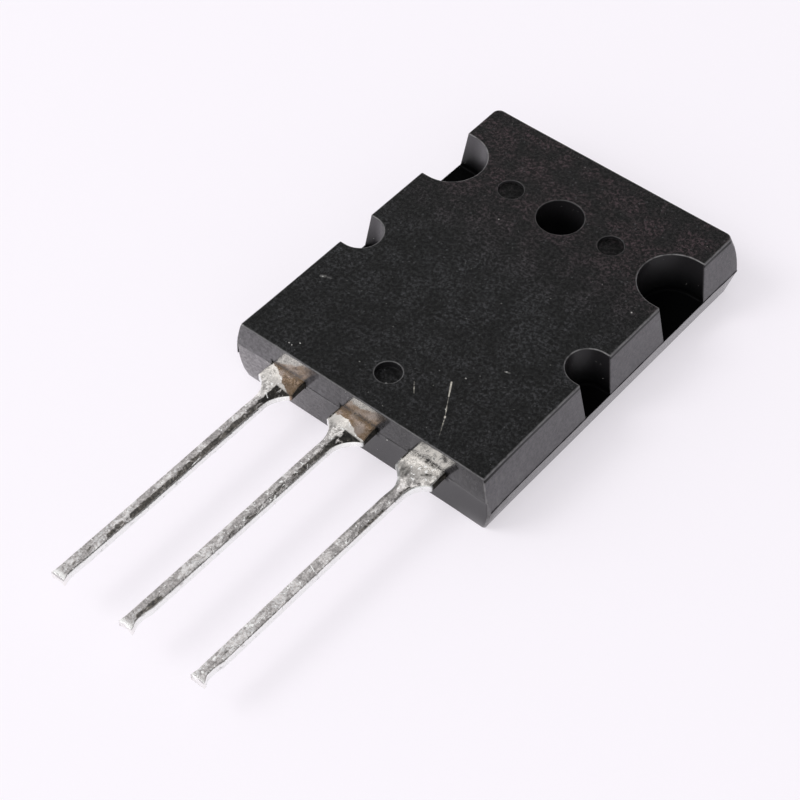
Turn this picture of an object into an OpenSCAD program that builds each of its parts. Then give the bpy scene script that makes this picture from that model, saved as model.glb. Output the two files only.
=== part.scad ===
// Flat three-lead power transistor in a large moulded package, lying on its heat-sink face.
// Origin: centre of the mounting hole, on the heat-sink face.
// +Z goes up through the moulded top, +Y from the leads to the hole, +X across the leads.

/* [Moulded body] */
// Width of the body at its widest line
body_w = 20.1; // [18:0.1:24]
// Thickness of the body
body_t = 5; // [4.6:0.1:6.5]
// Centre of the mounting hole to the end of the body beside it
hole_to_end = 6; // [4.5:0.05:8]
// Centre of the mounting hole to the wall that the leads leave by
hole_to_lead_end = 20.35; // [19.6:0.05:25]
// Height of the flange below the upper half of the mould
flange_t = 1.65; // [1.2:0.05:2]
// Slope of the walls above the flange, in degrees
upper_draft = 5; // [0.5:0.5:8]
// Slope of the flange walls, in degrees
flange_draft = 10; // [0.5:0.5:12]
// Slope of the wall below the leads, in degrees
lead_wall_draft = 5; // [0.5:0.5:8]
// Corner radius of the upper half at the flange
upper_corner_r = 0.6; // [0.5:0.05:1.2]
// Corner radius of the flange at its top
flange_corner_r = 1; // [0.5:0.05:1.6]

/* [Mounting hole] */
// Diameter of the mounting hole
hole_d = 3.2; // [2.5:0.1:4]
// Moulding left between the hole and the heat sink
hole_lining = 0.6; // [0.4:0.05:1]

/* [Side notches] */
// Radius of the large notches at the floor
large_notch_r = 2; // [1.5:0.05:2.8]
// Depth of the large notch centres inside the widest line
large_notch_inset = 1.05; // [0:0.05:1.5]
// Radius of the small notches at the floor
small_notch_r = 1.3; // [0.8:0.05:2]
// Depth of the small notch centres inside the widest line
small_notch_inset = 0.85; // [0:0.05:1.5]
// Mounting hole to the small notches, along the body
small_notch_back = 9.25; // [7:0.05:11]

/* [Ejector marks] */
// Diameter of the round marks on the top
mark_d = 1.8; // [1:0.1:2.4]
// Distance of the two side marks from the mounting hole
mark_offset = 4.1; // [3.4:0.1:5]
// Depth of the two side marks
mark_depth = 0.2; // [0.05:0.05:0.4]
// Depth of the mark near the leads
end_mark_depth = 0.5; // [0.1:0.05:0.6]
// Distance of that mark from the lead wall at the top
end_mark_inset = 2.75; // [1.5:0.05:4]

/* [Leads] */
// Distance between neighbouring leads
lead_pitch = 5.45; // [5:0.05:6]
// Width of a lead
lead_w = 0.95; // [0.7:0.05:1.3]
// Thickness of the lead strip
lead_t = 0.6; // [0.4:0.05:0.7]
// Height of the underside of the leads above the heat-sink face
lead_z = 2.8; // [2.6:0.05:3]
// Length of the leads outside the body
lead_out = 20.2; // [12:0.1:25]
// Width of the tab at the root of each lead
tab_w = 2.9; // [2.2:0.1:3.4]
// Length of the straight part of the tab outside the body
tab_out = 1.3; // [0.6:0.05:2]
// Radius of the curve between tab and lead
neck_r = 1.9; // [1.6:0.1:3]

/* [Lead frame inside the body] */
// Width of the landing at the inner end of an outer lead
landing_w = 4; // [3.2:0.1:4.6]
// Length of the landing
landing_l = 3.4; // [2.6:0.1:4]
// Moulding between the lead wall and the landing
landing_inset = 1.5; // [1:0.1:2]
// Diameter of the locking hole in each outer lead
lock_hole_d = 1.2; // [0.6:0.1:1.6]

/* [Heat sink] */
// Moulding between the heat sink and the widest line of each side
sink_side_border = 2.5; // [2:0.05:3.5]
// Thickness of the heat sink
sink_t = 2; // [1.5:0.1:2.2]
// Moulding between the heat sink and the hole end of the body
sink_end_border = 1.4; // [1:0.05:2]
// Moulding between the heat sink and the lead wall
sink_lead_border = 3.75; // [3:0.05:5]
// Overhang of the locking lip around the heat sink
lip_reach = 0.35; // [0.1:0.05:0.6]
// Height of the lip above the heat-sink face
lip_z = 0.7; // [0.4:0.05:1]
// Moulding between the heat sink and the side notches
notch_wall = 0.65; // [0.4:0.05:1]

/* [Die and bond wires] */
// Side of the square silicon die
die_w = 6.5; // [4:0.1:8]
// Thickness of the die
die_t = 0.3; // [0.2:0.05:0.4]
// Thickness of the solder under the die
solder_t = 0.08; // [0.04:0.01:0.15]
// Width of solder that shows around the die
solder_margin = 0.25; // [0.1:0.05:0.5]
// Distance of the die centre from the mounting hole
die_back = 9; // [8.4:0.1:10]
// Diameter of the emitter wires
emitter_wire_d = 0.4; // [0.2:0.05:0.5]
// Diameter of the base wire
base_wire_d = 0.3; // [0.2:0.05:0.5]
// Distance between the two emitter wires
wire_gap = 1.4; // [1:0.1:2]
// Moulding over the highest point of the wires
wire_cover = 0.55; // [0.4:0.05:0.7]

/* [Hidden] */
$fn = 96;

past = 1;                                    // how far a cutter runs past the face it opens
hull_fn = 32;                                // sides of the cones inside a hull
lead_top = lead_z + lead_t;
parting_z = lead_z + lead_t / 2;             // mould halves meet halfway up the leads
upper_shift = (body_t - flange_t) * tan(upper_draft);
flange_shift = flange_t * tan(flange_draft);
lead_wall_shift = parting_z * tan(lead_wall_draft);
// Lead wall at the foot of the upper half, where its slope is carried down to the flange
lead_end_wide = hole_to_lead_end + (parting_z - flange_t) * tan(upper_draft);
lead_end_top = lead_end_wide - upper_shift;
end_mark_y = -(lead_end_top - end_mark_inset);
hole_r = hole_d / 2;

large_notch_x = body_w / 2 - large_notch_inset;
small_notch_x = body_w / 2 - small_notch_inset;

sink_half_w = body_w / 2 - sink_side_border;
sink_y0 = -(hole_to_lead_end - sink_lead_border);
sink_y1 = hole_to_end - sink_end_border;
sink_hole_r = hole_r + hole_lining;

tab_end_y = -(hole_to_lead_end + tab_out);
neck_reach = sqrt(pow(neck_r, 2) - pow(neck_r - (tab_w - lead_w) / 2, 2));
neck_end_y = tab_end_y - neck_reach;
lead_end_y = -(hole_to_lead_end + lead_out);
landing_y0 = -(hole_to_lead_end - landing_inset);
landing_y1 = landing_y0 + landing_l;

solder_top = sink_t + solder_t;
die_top = solder_top + die_t;
wire_top = body_t - wire_cover;
foot_l = 0.9;                                // wedge-bonded foot of a wire
foot_share = 0.6;                            // its height, as a share of the wire

// Run of an arc from its top down to a drop, for an arc whose two drops a and b span a run c
function arc_run(a, b, c) =
    abs(a - b) < 0.001 ? c / 2 :
    (a * c - sqrt(pow(a * c, 2) - (a - b) * (a * pow(c, 2) + a * pow(b, 2) - pow(a, 2) * b))) / (a - b);
function arc_radius(a, run) = (pow(run, 2) + pow(a, 2)) / (2 * a);

// ---- shared shapes ----

// A block from z0 up to z0 + h between the walls x = +-half_w, y = y0 and y = y1 at its base.
// Every wall leans by shift over the height, outwards where shift is positive.
module drafted_block(half_w, y0, y1, z0, h, corner_r, shift) {
    hull()
        for (x = [-1, 1], y = [y0 + corner_r, y1 - corner_r])
            translate([x * (half_w - corner_r), y, z0])
                cylinder(h = h, r1 = corner_r, r2 = corner_r + shift, $fn = hull_fn);
}

// Round notch that opens the side wall and the top, with the slope of the upper walls
module side_notch(x, y, r) {
    height = body_t + past - flange_t;
    translate([x, y, flange_t])
        cylinder(h = height, r1 = r, r2 = r + height * tan(upper_draft));
}

// Plan of one lead outside the body, from inner_y to its tip
module lead_plan(inner_y) {
    translate([-lead_w / 2, lead_end_y])
        square([lead_w, neck_end_y - lead_end_y + 0.01]);
    difference() {
        translate([-tab_w / 2, neck_end_y])
            square([tab_w, inner_y - neck_end_y]);
        for (side = [-1, 1])
            translate([side * (lead_w / 2 + neck_r), neck_end_y])
                circle(r = neck_r);
    }
}

// Lead with a free landing inside the body, as the base and the emitter have
module outer_lead() {
    translate([0, 0, lead_z])
        linear_extrude(height = lead_t)
            difference() {
                union() {
                    lead_plan(landing_y0);
                    translate([-landing_w / 2, landing_y0])
                        square([landing_w, landing_l]);
                }
                translate([0, landing_y0])
                    circle(d = lock_hole_d);
            }
}

// Bond wire from a point on the die to a point on a landing, one arc with a foot at each end
module bond_wire(from, to, d) {
    run = norm(to - from);
    drop_die = wire_top - d / 2 - (die_top + d / 2);
    drop_lead = wire_top - d / 2 - (lead_top + d / 2);
    run_die = arc_run(drop_die, drop_lead, run);
    run_lead = run - run_die;
    r = arc_radius(drop_die, run_die);
    turn_lead = atan2(r - drop_lead, run_lead);
    turn_die = 180 - atan2(r - drop_die, run_die);
    translate(from)
        rotate([0, 0, atan2(to[1] - from[1], to[0] - from[0])]) {
            translate([run_die, 0, wire_top - d / 2 - r])
                rotate([90, 0, 0])
                    rotate([0, 0, turn_lead])
                        rotate_extrude(angle = turn_die - turn_lead)
                            translate([r, 0])
                                circle(d = d, $fn = 24);
            wire_foot(0, die_top, d);
            wire_foot(run, lead_top, d);
        }
}

module wire_foot(x, z, d) {
    translate([x - foot_l / 2, -0.6 * d, z])
        cube([foot_l, 1.2 * d, foot_share * d]);
}

// ---- sub-parts ----

// Solid outside of the moulding, before anything is cut from it
module body_blank() {
    difference() {
        union() {
            drafted_block(body_w / 2, -lead_end_wide, hole_to_end, flange_t,
                          body_t - flange_t, upper_corner_r, -upper_shift);
            drafted_block(body_w / 2 - flange_shift, -(hole_to_lead_end - lead_wall_shift),
                          hole_to_end - flange_shift, 0, flange_t,
                          flange_corner_r - flange_shift, flange_shift);
        }
        lead_wall_cut();
        lead_corner_cut(-1);
        lead_corner_cut(1);
    }
}

// Carries the rounder corner of the flange up to the leads, at one end of the lead wall
module lead_corner_cut(side) {
    outside = flange_corner_r + past;
    translate([side * (body_w / 2 - flange_corner_r), -(hole_to_lead_end - flange_corner_r), flange_t])
        difference() {
            translate([side > 0 ? 0 : -outside, -outside, 0])
                cube([outside, outside, parting_z - flange_t]);
            translate([0, 0, -past])
                cylinder(h = parting_z - flange_t + 2 * past, r = flange_corner_r);
        }
}

// Everything outside the wall below the leads, which leans back down to the heat-sink face
module lead_wall_cut() {
    translate([-(body_w / 2 + past), 0, 0])
        rotate([90, 0, 90])
            linear_extrude(height = body_w + 2 * past)
                polygon([[-hole_to_lead_end, parting_z],
                         [-(hole_to_lead_end - lead_wall_shift), 0],
                         [-(hole_to_lead_end - lead_wall_shift - past * tan(lead_wall_draft)), -past],
                         [-(lead_end_wide + past), -past],
                         [-(lead_end_wide + past), parting_z]]);
}

module moulded_body() {
    color([0.14, 0.14, 0.15])
        difference() {
            body_blank();
            translate([0, 0, -past])
                cylinder(h = body_t + 2 * past, r = hole_r);
            for (side = [-1, 1]) {
                side_notch(side * large_notch_x, 0, large_notch_r);
                side_notch(side * small_notch_x, -small_notch_back, small_notch_r);
                translate([side * mark_offset, 0, body_t - mark_depth])
                    cylinder(h = past, d = mark_d);
            }
            translate([0, end_mark_y, body_t - end_mark_depth])
                cylinder(h = past, d = mark_d);
            collector_frame_solid();
            base_lead_solid();
            emitter_lead_solid();
            silicon_die_solid();
            die_attach_solder_solid();
            base_bond_wire_solid();
            for (i = [1, 2])
                emitter_bond_wire_solid(i);
        }
}

// Heat sink and centre lead, pressed from one strip of two thicknesses
module collector_frame() {
    color([0.78, 0.77, 0.74])
        collector_frame_solid();
}

module collector_frame_solid() {
    difference() {
        union() {
            sink_layer(0, lip_z + 0.01, lip_reach);
            sink_layer(lip_z, sink_t - lip_z, 0);
        }
        translate([0, 0, -past])
            cylinder(h = sink_t + 2 * past, r = sink_hole_r);
        for (side = [-1, 1]) {
            sink_waist(side * large_notch_x, 0, large_notch_r);
            sink_waist(side * small_notch_x, -small_notch_back, small_notch_r);
        }
    }
    downset();
    translate([0, 0, lead_z])
        linear_extrude(height = lead_t)
            lead_plan(landing_y0);
}

// One layer of the heat sink, set back by inset all round
module sink_layer(z, h, inset) {
    translate([-(sink_half_w - inset), sink_y0 + inset, z])
        cube([2 * (sink_half_w - inset), sink_y1 - sink_y0 - 2 * inset, h]);
}

// Keeps the heat sink away from the notch of radius r above it
module sink_waist(x, y, r) {
    translate([x, y, -past])
        cylinder(h = sink_t + 2 * past, r = r + notch_wall);
}

// Bent strip that carries the centre lead down to the top of the heat sink
module downset() {
    overlap = 0.01;
    translate([-tab_w / 2, 0, 0])
        rotate([90, 0, 90])
            linear_extrude(height = tab_w)
                polygon([[landing_y0 - overlap, lead_top],
                         [landing_y0 + lead_t / 2, lead_top],
                         [sink_y0 + overlap + lead_t / 2, sink_t],
                         [sink_y0 + overlap, sink_t - lead_t],
                         [sink_y0, sink_t - lead_t],
                         [landing_y0 - overlap, lead_z]]);
}

module base_lead() {
    color([0.80, 0.79, 0.76])
        base_lead_solid();
}

module base_lead_solid() {
    translate([-lead_pitch, 0, 0])
        outer_lead();
}

module emitter_lead() {
    color([0.80, 0.79, 0.76])
        emitter_lead_solid();
}

module emitter_lead_solid() {
    translate([lead_pitch, 0, 0])
        outer_lead();
}

module silicon_die() {
    color([0.35, 0.38, 0.45])
        silicon_die_solid();
}

module silicon_die_solid() {
    translate([-die_w / 2, -die_back - die_w / 2, solder_top])
        cube([die_w, die_w, die_t]);
}

module die_attach_solder() {
    color([0.62, 0.62, 0.64])
        die_attach_solder_solid();
}

module die_attach_solder_solid() {
    side = die_w + 2 * solder_margin;
    translate([-side / 2, -die_back - side / 2, sink_t])
        cube([side, side, solder_t]);
}

module base_bond_wire() {
    color([0.86, 0.86, 0.87])
        base_bond_wire_solid();
}

module base_bond_wire_solid() {
    bond_wire([-die_w * 0.3, -die_back - die_w * 0.3],
              [-lead_pitch, landing_y1 - 1], base_wire_d);
}

module emitter_bond_wire_1() {
    color([0.86, 0.86, 0.87])
        emitter_bond_wire_solid(1);
}

module emitter_bond_wire_2() {
    color([0.86, 0.86, 0.87])
        emitter_bond_wire_solid(2);
}

// Emitter wires 1 and 2 run side by side, wire_gap apart
module emitter_bond_wire_solid(i) {
    across = (i - 1.5) * wire_gap;
    bond_wire([die_w * 0.25 + across, -die_back - die_w * 0.25],
              [lead_pitch + across, landing_y1 - 1], emitter_wire_d);
}

moulded_body();
collector_frame();
base_lead();
emitter_lead();
silicon_die();
die_attach_solder();
base_bond_wire();
emitter_bond_wire_1();
emitter_bond_wire_2();
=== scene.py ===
"""Finishes a flat three-lead power transistor in its large moulded package, around the packed frame."""

import math
from collections import namedtuple

import bmesh
import bpy
from bpy.props import FloatProperty, FloatVectorProperty, IntProperty, PointerProperty
from mathutils import Matrix, Vector, geometry


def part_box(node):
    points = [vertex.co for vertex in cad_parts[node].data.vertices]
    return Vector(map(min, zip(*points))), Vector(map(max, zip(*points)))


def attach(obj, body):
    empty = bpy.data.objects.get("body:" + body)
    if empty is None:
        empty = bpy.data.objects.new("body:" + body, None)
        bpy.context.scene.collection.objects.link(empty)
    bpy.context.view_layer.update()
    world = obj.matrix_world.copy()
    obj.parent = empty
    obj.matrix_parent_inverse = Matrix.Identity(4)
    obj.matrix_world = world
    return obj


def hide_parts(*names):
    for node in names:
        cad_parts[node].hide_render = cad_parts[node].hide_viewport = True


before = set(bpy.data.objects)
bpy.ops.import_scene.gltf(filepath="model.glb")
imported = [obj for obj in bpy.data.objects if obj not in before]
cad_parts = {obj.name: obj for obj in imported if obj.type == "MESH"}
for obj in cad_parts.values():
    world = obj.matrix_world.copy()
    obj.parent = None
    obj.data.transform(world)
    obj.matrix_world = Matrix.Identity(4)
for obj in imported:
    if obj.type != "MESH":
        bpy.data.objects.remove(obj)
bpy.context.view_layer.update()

bl_info = {
    "name": "Flat Power Transistor",
    "version": (1, 0, 0),
    "blender": (4, 5, 0),
    "location": "3D View > Sidebar > Transistor",
    "description": "Moulded body, heat sink, tinned leads and a plain studio for a flat power transistor",
    "category": "Add Mesh",
}

MM = 0.001
BODY = "root"
MOULD_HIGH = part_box("moulded_body")[1]
SINK_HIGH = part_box("collector_frame")[1]
LEAD_LOW, LEAD_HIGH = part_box("emitter_lead")
CIRCLE_STEPS = 72                  # points round a hole or a mark
# In millimetres:
TOP = 5.0                          # height of the top above the heat-sink face
SINK_SLAB = (-16.6, round(SINK_HIGH.y / MM, 3))   # the heat sink's ends along the body
SINK_TOP = 2.0
SINK_PROUD = 0.015                 # how far it stands out of the moulding below
SINK_LIP = (0.7, 0.35)             # height and overhang of its locking lip
SINK_MARGIN = 2.5                  # moulding beside it
NOTCH_SKIN = 0.65                  # moulding between it and a notch
SLOT_DEPTH = 0.5                   # room round a tab where it leaves the wall
PITCH = 5.45                       # between the leads, for the marks that the tabs leave on the wall
TAB_HEIGHT = 3.1                   # middle of the tabs, for the same marks


# ---- sizes and colours that a user would change ----

def length(name, description, millimetres):
    return FloatProperty(name=name, description=description, default=millimetres * MM,
                         min=0.0, precision=5, subtype="DISTANCE", unit="LENGTH")


def colour(name, description, value):
    return FloatVectorProperty(name=name, description=description, default=value,
                               min=0.0, max=1.0, size=3, subtype="COLOR")


class MouldingSizes(bpy.types.PropertyGroup):
    """Sizes of the moulded body."""
    half_width: length("Half Width", "Middle of the body to its widest line", MOULD_HIGH.x / MM + 0.17)
    top: length("Thickness", "Height of the top above the heat-sink face", MOULD_HIGH.z / MM)
    hole_to_end: length("Hole to End", "Mounting hole to the end of the body beside it", MOULD_HIGH.y / MM + 0.03)
    hole_to_wall: length("Hole to Lead Wall", "Mounting hole to the wall that the leads leave by", 20.35)
    flange: length("Flange Height", "Height of the line round the sides where the mould halves meet", 1.94)
    parting: length("Parting at the Leads", "Height where the mould halves meet at the leads", 3.1)
    upper_corner: length("Upper Corner", "Corner radius of the upper half", 0.15)
    lower_corner: length("Flange Corner", "Corner radius of the lower half", 0.2)
    hole: length("Mounting Hole Radius", "Radius of the mounting hole", 1.6)
    lining: length("Lining", "Moulding between the mounting hole and the heat sink", 0.6)
    large_notch: length("Large Notch", "Radius of the large notches at the floor", 2.16)
    large_notch_x: length("Large Notch Place", "Middle of the body to the large notch centre", 9.2)
    small_notch: length("Small Notch", "Radius of the small notches at the floor", 1.24)
    small_notch_x: length("Small Notch Place", "Middle of the body to the small notch centre", 9.31)
    small_notch_back: length("Small Notch Back", "Mounting hole to the small notches", 9.25)
    mark: length("Mark Radius", "Radius of the round ejector marks", 0.88)
    mark_offset: length("Side Mark Offset", "Mounting hole to the two side marks", 4.1)
    end_mark_back: length("End Mark Back", "Mounting hole to the mark near the leads", 17.43)
    edge: length("Top Edge Radius", "Rounding of the top edge", 0.09)
    mouth: length("Notch Mouth Radius", "Rounding of the corners beside the notches", 0.13)


class LeadSizes(bpy.types.PropertyGroup):
    """Sizes of the leads and of the solder on them."""
    pitch: length("Lead Pitch", "Distance between neighbouring leads", LEAD_HIGH.x / MM - 2.0)
    half_width: length("Lead Half Width", "Half the width of a lead", 0.42)
    thickness: length("Lead Thickness", "Thickness of the strip", (LEAD_HIGH.z - LEAD_LOW.z) / MM)
    tab: length("Tab Half Width", "Half the width of the tab at the wall", 1.45)
    tab_end: length("Tab End", "Mounting hole to the end of the tab", 21.65)
    neck: length("Neck Radius", "Radius of the curve from the tab to the lead", 1.9)
    landing: length("Landing Half Width", "Half the width of the landing inside the body", 2.0)
    ripple: length("Solder Ripple", "Height of the ripples in the solder coat", 0.022)
    seed: IntProperty(name="Seed", description="Start of the solder pattern", default=7, min=0)


class WearSizes(bpy.types.PropertyGroup):
    """Mould flash and dust."""
    flash: length("Flash Height", "Height of the ridge left where the mould halves meet", 0.035)
    dust: length("Crumb Size", "Size of the largest dust crumbs", 0.07)
    dust_count: IntProperty(name="Crumbs", description="Number of fine crumbs on the body", default=150, min=0)
    seed: IntProperty(name="Seed", description="Start of the dust pattern", default=3, min=0)


class FinishColours(bpy.types.PropertyGroup):
    """Colours of the finishes."""
    moulding: colour("Moulding", "Black moulding compound", (0.0055, 0.0055, 0.006))
    # Painted light: the walls are given a lighter colour than the top, for the light that they reflect
    moulding_wall: colour("Moulding Walls", "Smoother walls of the moulding", (0.010, 0.0095, 0.0105))
    tin: colour("Tin", "Solder on the leads", (0.965, 0.905, 0.88))
    copper: colour("Bare Copper", "Strip that the solder left bare beside the wall", (0.45, 0.33, 0.25))
    # Also the colour of the painted dark reflection and painted shade on the leads
    flux_and_painted_dark: colour("Flux", "Dark residue on the leads", (0.052, 0.046, 0.037))
    sink: colour("Heat Sink", "Plated heat sink", (0.72, 0.70, 0.67))
    dust: colour("Dust", "Crumbs on the body", (0.62, 0.61, 0.58))
    floor: colour("Floor", "Plain pale floor", (0.93, 0.89, 0.94))


class StageSizes(bpy.types.PropertyGroup):
    """Studio light and camera."""
    key: FloatProperty(name="Softbox Radiance", description="Brightness of the softbox", default=6.8, min=0.0)
    room: FloatProperty(name="Room Brightness", description="Brightness of the room around", default=1.0, min=0.0)
    lift: FloatProperty(name="Floor Paleness", default=0.55, min=0.0, max=1.0,
                        description="Share of the floor that is plain white, so that its shadows stay soft")
    lens: FloatProperty(name="Lens", description="Focal length in millimetres", default=95.892, min=1.0)
    floor: length("Floor Half Width", "Half the width of the floor", 3000.0)


# ---- nodes ----

class Wire:
    """A node's output that can be reckoned with: each operator adds a math node to the tree."""

    def __init__(self, nodes, socket):
        self.nodes, self.socket = nodes, socket

    def __abs__(self):
        return self.nodes.math("ABSOLUTE", self)

    def __gt__(self, other):
        return self.nodes.math("GREATER_THAN", self, other)

    def __lt__(self, other):
        return self.nodes.math("LESS_THAN", self, other)

    def step(self, low, high, to_low=0.0, to_high=1.0):
        """Smooth rise from to_low to to_high while the value goes from low to high."""
        return self.nodes.add("ShaderNodeMapRange", {"Value": self, "From Min": low, "From Max": high,
                                                     "To Min": to_low, "To Max": to_high},
                              interpolation_type="SMOOTHSTEP")["Result"]


def give_operator(name, operation):
    setattr(Wire, f"__{name}__", lambda self, other: self.nodes.math(operation, self, other))
    setattr(Wire, f"__r{name}__", lambda self, other: self.nodes.math(operation, other, self))


for operator_name, math_operation in (("add", "ADD"), ("sub", "SUBTRACT"), ("mul", "MULTIPLY"),
                                      ("truediv", "DIVIDE"), ("pow", "POWER")):
    give_operator(operator_name, math_operation)


class Outputs:
    """The outputs of a node, by name or number."""

    def __init__(self, nodes, node):
        self.nodes, self.node = nodes, node

    def __getitem__(self, key):
        return Wire(self.nodes, self.node.outputs[key])


class Nodes:
    """Adds nodes to a tree, and links or sets their inputs."""

    def __init__(self, tree):
        self.tree = tree

    def add(self, kind, inputs=(), **settings):
        node = self.tree.nodes.new(kind)
        for key, value in settings.items():
            setattr(node, key, value)
        for key, value in dict(inputs).items():
            self.feed(node.inputs[key], value)
        return Outputs(self, node)

    def feed(self, socket, value):
        if isinstance(value, Wire):
            self.tree.links.new(value.socket, socket)
        else:
            socket.default_value = value

    def math(self, operation, *values, clamp=False):
        return self.add("ShaderNodeMath", enumerate(values), operation=operation, use_clamp=clamp)[0]

    def most(self, first, *others):
        """The largest of several values."""
        for other in others:
            first = self.math("MAXIMUM", first, other)
        return first

    def vector(self, operation, *values, out="Vector"):
        return self.add("ShaderNodeVectorMath", enumerate(values), operation=operation)[out]

    def scale(self, vector, factor):
        return self.add("ShaderNodeVectorMath", {0: vector, "Scale": factor}, operation="SCALE")[0]

    def split(self, vector):
        return self.add("ShaderNodeSeparateXYZ", {0: vector})

    def join(self, *values):
        return self.add("ShaderNodeCombineXYZ", enumerate(values))[0]

    def noise(self, vector, scale, detail=2.0, roughness=0.5, distortion=0.0, w=None):
        inputs = {"Vector": vector, "Scale": scale, "Detail": detail, "Roughness": roughness,
                  "Distortion": distortion}
        if w is not None:
            inputs["W"] = w
        return self.add("ShaderNodeTexNoise", inputs, noise_dimensions="3D" if w is None else "4D")["Fac"]

    def blend(self, factor, a, b):
        """A mix of two colours."""
        a, b = (value if isinstance(value, Wire) else (*value, 1.0) for value in (a, b))
        return self.add("ShaderNodeMix", {0: factor, 6: a, 7: b}, data_type="RGBA")[2]

    def between(self, factor, a, b):
        """A mix of two values."""
        return self.add("ShaderNodeMix", {0: factor, 2: a, 3: b}, data_type="FLOAT")[0]

    def painted(self, name):
        """A named attribute, in a shader tree."""
        return self.add("ShaderNodeAttribute", attribute_name=name)["Fac"]

    def attribute(self, name, kind="FLOAT"):
        """A named attribute, in a Geometry Nodes tree."""
        return self.add("GeometryNodeInputNamedAttribute", {"Name": name}, data_type=kind)[0]

    def store(self, mesh, name, value, kind="FLOAT"):
        return self.add("GeometryNodeStoreNamedAttribute", {"Geometry": mesh, "Name": name, "Value": value},
                        data_type=kind, domain="POINT")[0]


def node_group(kind, name, inputs, outputs=()):
    """An empty node group with its sockets, and the nodes that hold them."""
    tree = bpy.data.node_groups.new(name, kind)
    for socket_kind, socket_name, default in inputs:
        socket = tree.interface.new_socket(socket_name, in_out="INPUT", socket_type="NodeSocket" + socket_kind)
        if default is not None:
            socket.default_value = default
    for socket_kind, socket_name in outputs:
        tree.interface.new_socket(socket_name, in_out="OUTPUT", socket_type="NodeSocket" + socket_kind)
    nodes = Nodes(tree)
    return nodes, nodes.add("NodeGroupInput"), nodes.add("NodeGroupOutput").node.inputs


def shader_group(**defaults):
    """Turns a function that fills a shader node group into one that places the group, which is built once."""
    def wrap(fill):
        def place(nodes, vector, **values):
            tree = bpy.data.node_groups.get(fill.__doc__)
            if not tree:
                sockets = [("Vector", "Vector", None)]
                sockets += [("Vector" if value is None else "Float", key, value) for key, value in defaults.items()]
                inner, given, made = node_group("ShaderNodeTree", fill.__doc__, sockets)
                tree = inner.tree
                for key, value in fill(inner, given["Vector"], *(given[key] for key in defaults)).items():
                    tree.interface.new_socket(key, in_out="OUTPUT", socket_type="NodeSocketFloat")
                    inner.feed(made[key], value)
            return nodes.add("ShaderNodeGroup", {"Vector": vector, **values}, node_tree=tree)
        return place
    return wrap


def geometry_tree(name, *sockets):
    """An empty Geometry Nodes tree that takes a shape and a material."""
    return node_group("GeometryNodeTree", name, [("Geometry", "Geometry", None), *sockets,
                                                 ("Material", "Material", None)], [("Geometry", "Geometry")])


def finish_tree(nodes, given, made, geometry):
    """Makes a Geometry Nodes tree's instances real, gives them the material and hands them out."""
    whole = nodes.add("GeometryNodeRealizeInstances", {0: geometry})[0]
    nodes.feed(made["Geometry"], nodes.add("GeometryNodeSetMaterial",
                                           {"Geometry": whole, "Material": given["Material"]})[0])
    return nodes.tree


@shader_group(Scale=6.0, Fleck=0.5)
def moulded_grain(nodes, vector, scale, fleck):
    """Moulded grain"""
    cells = nodes.add("ShaderNodeTexVoronoi", {"Vector": vector, "Scale": scale * 0.8})
    chance = nodes.split(cells["Color"])[0]
    flecks = cells["Distance"].step(0.30, 0.12) * chance.step(0.72, 0.95)
    return {"Height": nodes.noise(vector, scale, 6.0, 0.78, 0.4),
            "Cloud": nodes.noise(vector, scale * 0.16, 3.0, 0.6, 0.3), "Flecks": flecks * fleck}


@shader_group(Edge=0.0, Amount=0.5)
def rubbed_edge_and_highlight(nodes, vector, edge, amount):
    """Rubbed edge"""
    mask = edge * nodes.noise(vector, 1.7, 4.0, 0.65).step(0.34, 0.62, 0.35, 1.0)
    return {"Mask": nodes.math("MULTIPLY", mask, amount, clamp=True)}


@shader_group(Amount=0.5)
def dust_film(nodes, vector, amount):
    """Dust film"""
    patches = nodes.noise(vector, 0.35, 5.0, 0.6).step(0.45, 0.75)
    return {"Mask": patches * nodes.noise(vector, 9.0, 2.0, 0.7).step(0.55, 0.75) * amount}


@shader_group(From=None, To=None, Width=0.05, Break=0.5)
def scratch_line(nodes, vector, start, end, width, gaps):
    """Scratch line"""
    along = nodes.vector("SUBTRACT", end, start)
    away = nodes.vector("SUBTRACT", vector, start)
    share = nodes.math("DIVIDE", nodes.vector("DOT_PRODUCT", away, along, out="Value"),
                       nodes.vector("DOT_PRODUCT", along, along, out="Value"), clamp=True)
    beside = nodes.vector("SUBTRACT", away, nodes.scale(along, share))
    wobble = (nodes.noise(vector, 1.3, 2.0) - 0.5) * 0.12
    line = abs(nodes.vector("LENGTH", beside, out="Value") + wobble).step(width, width * 0.35)
    return {"Mask": line * nodes.noise(vector, 3.5, 3.0, 0.7).step(0.36, 0.6, 1.0 - gaps, 1.0)}


@shader_group(Scale=2.5)
def solder_mottle(nodes, vector, scale):
    """Solder mottle"""
    stretched = nodes.vector("MULTIPLY", vector, (1.0, 0.55, 1.0))
    moved = nodes.vector("ADD", vector, (31.0, 7.0, 3.0))
    return {"Patches": nodes.noise(stretched, scale, 4.0, 0.62, 0.6),
            "Grain": nodes.noise(vector, scale * 3.6, 3.0, 0.7),
            "Pits": nodes.noise(vector, scale * 1.5, 3.0, 0.6, 0.4).step(0.60, 0.70),
            "Ticks": nodes.noise(moved, scale * 2.2, 2.0, 0.6).step(0.62, 0.68)}


def marks(nodes, place, height, lines):
    """Scratch lines at one height, each from (x0, y0) to (x1, y1) with a width and the share that is broken."""
    return nodes.most(*[scratch_line(nodes, place, From=(x0, y0, height), To=(x1, y1, height), Width=width,
                                     Break=gaps)["Mask"] for x0, y0, x1, y1, width, gaps in lines])


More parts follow.
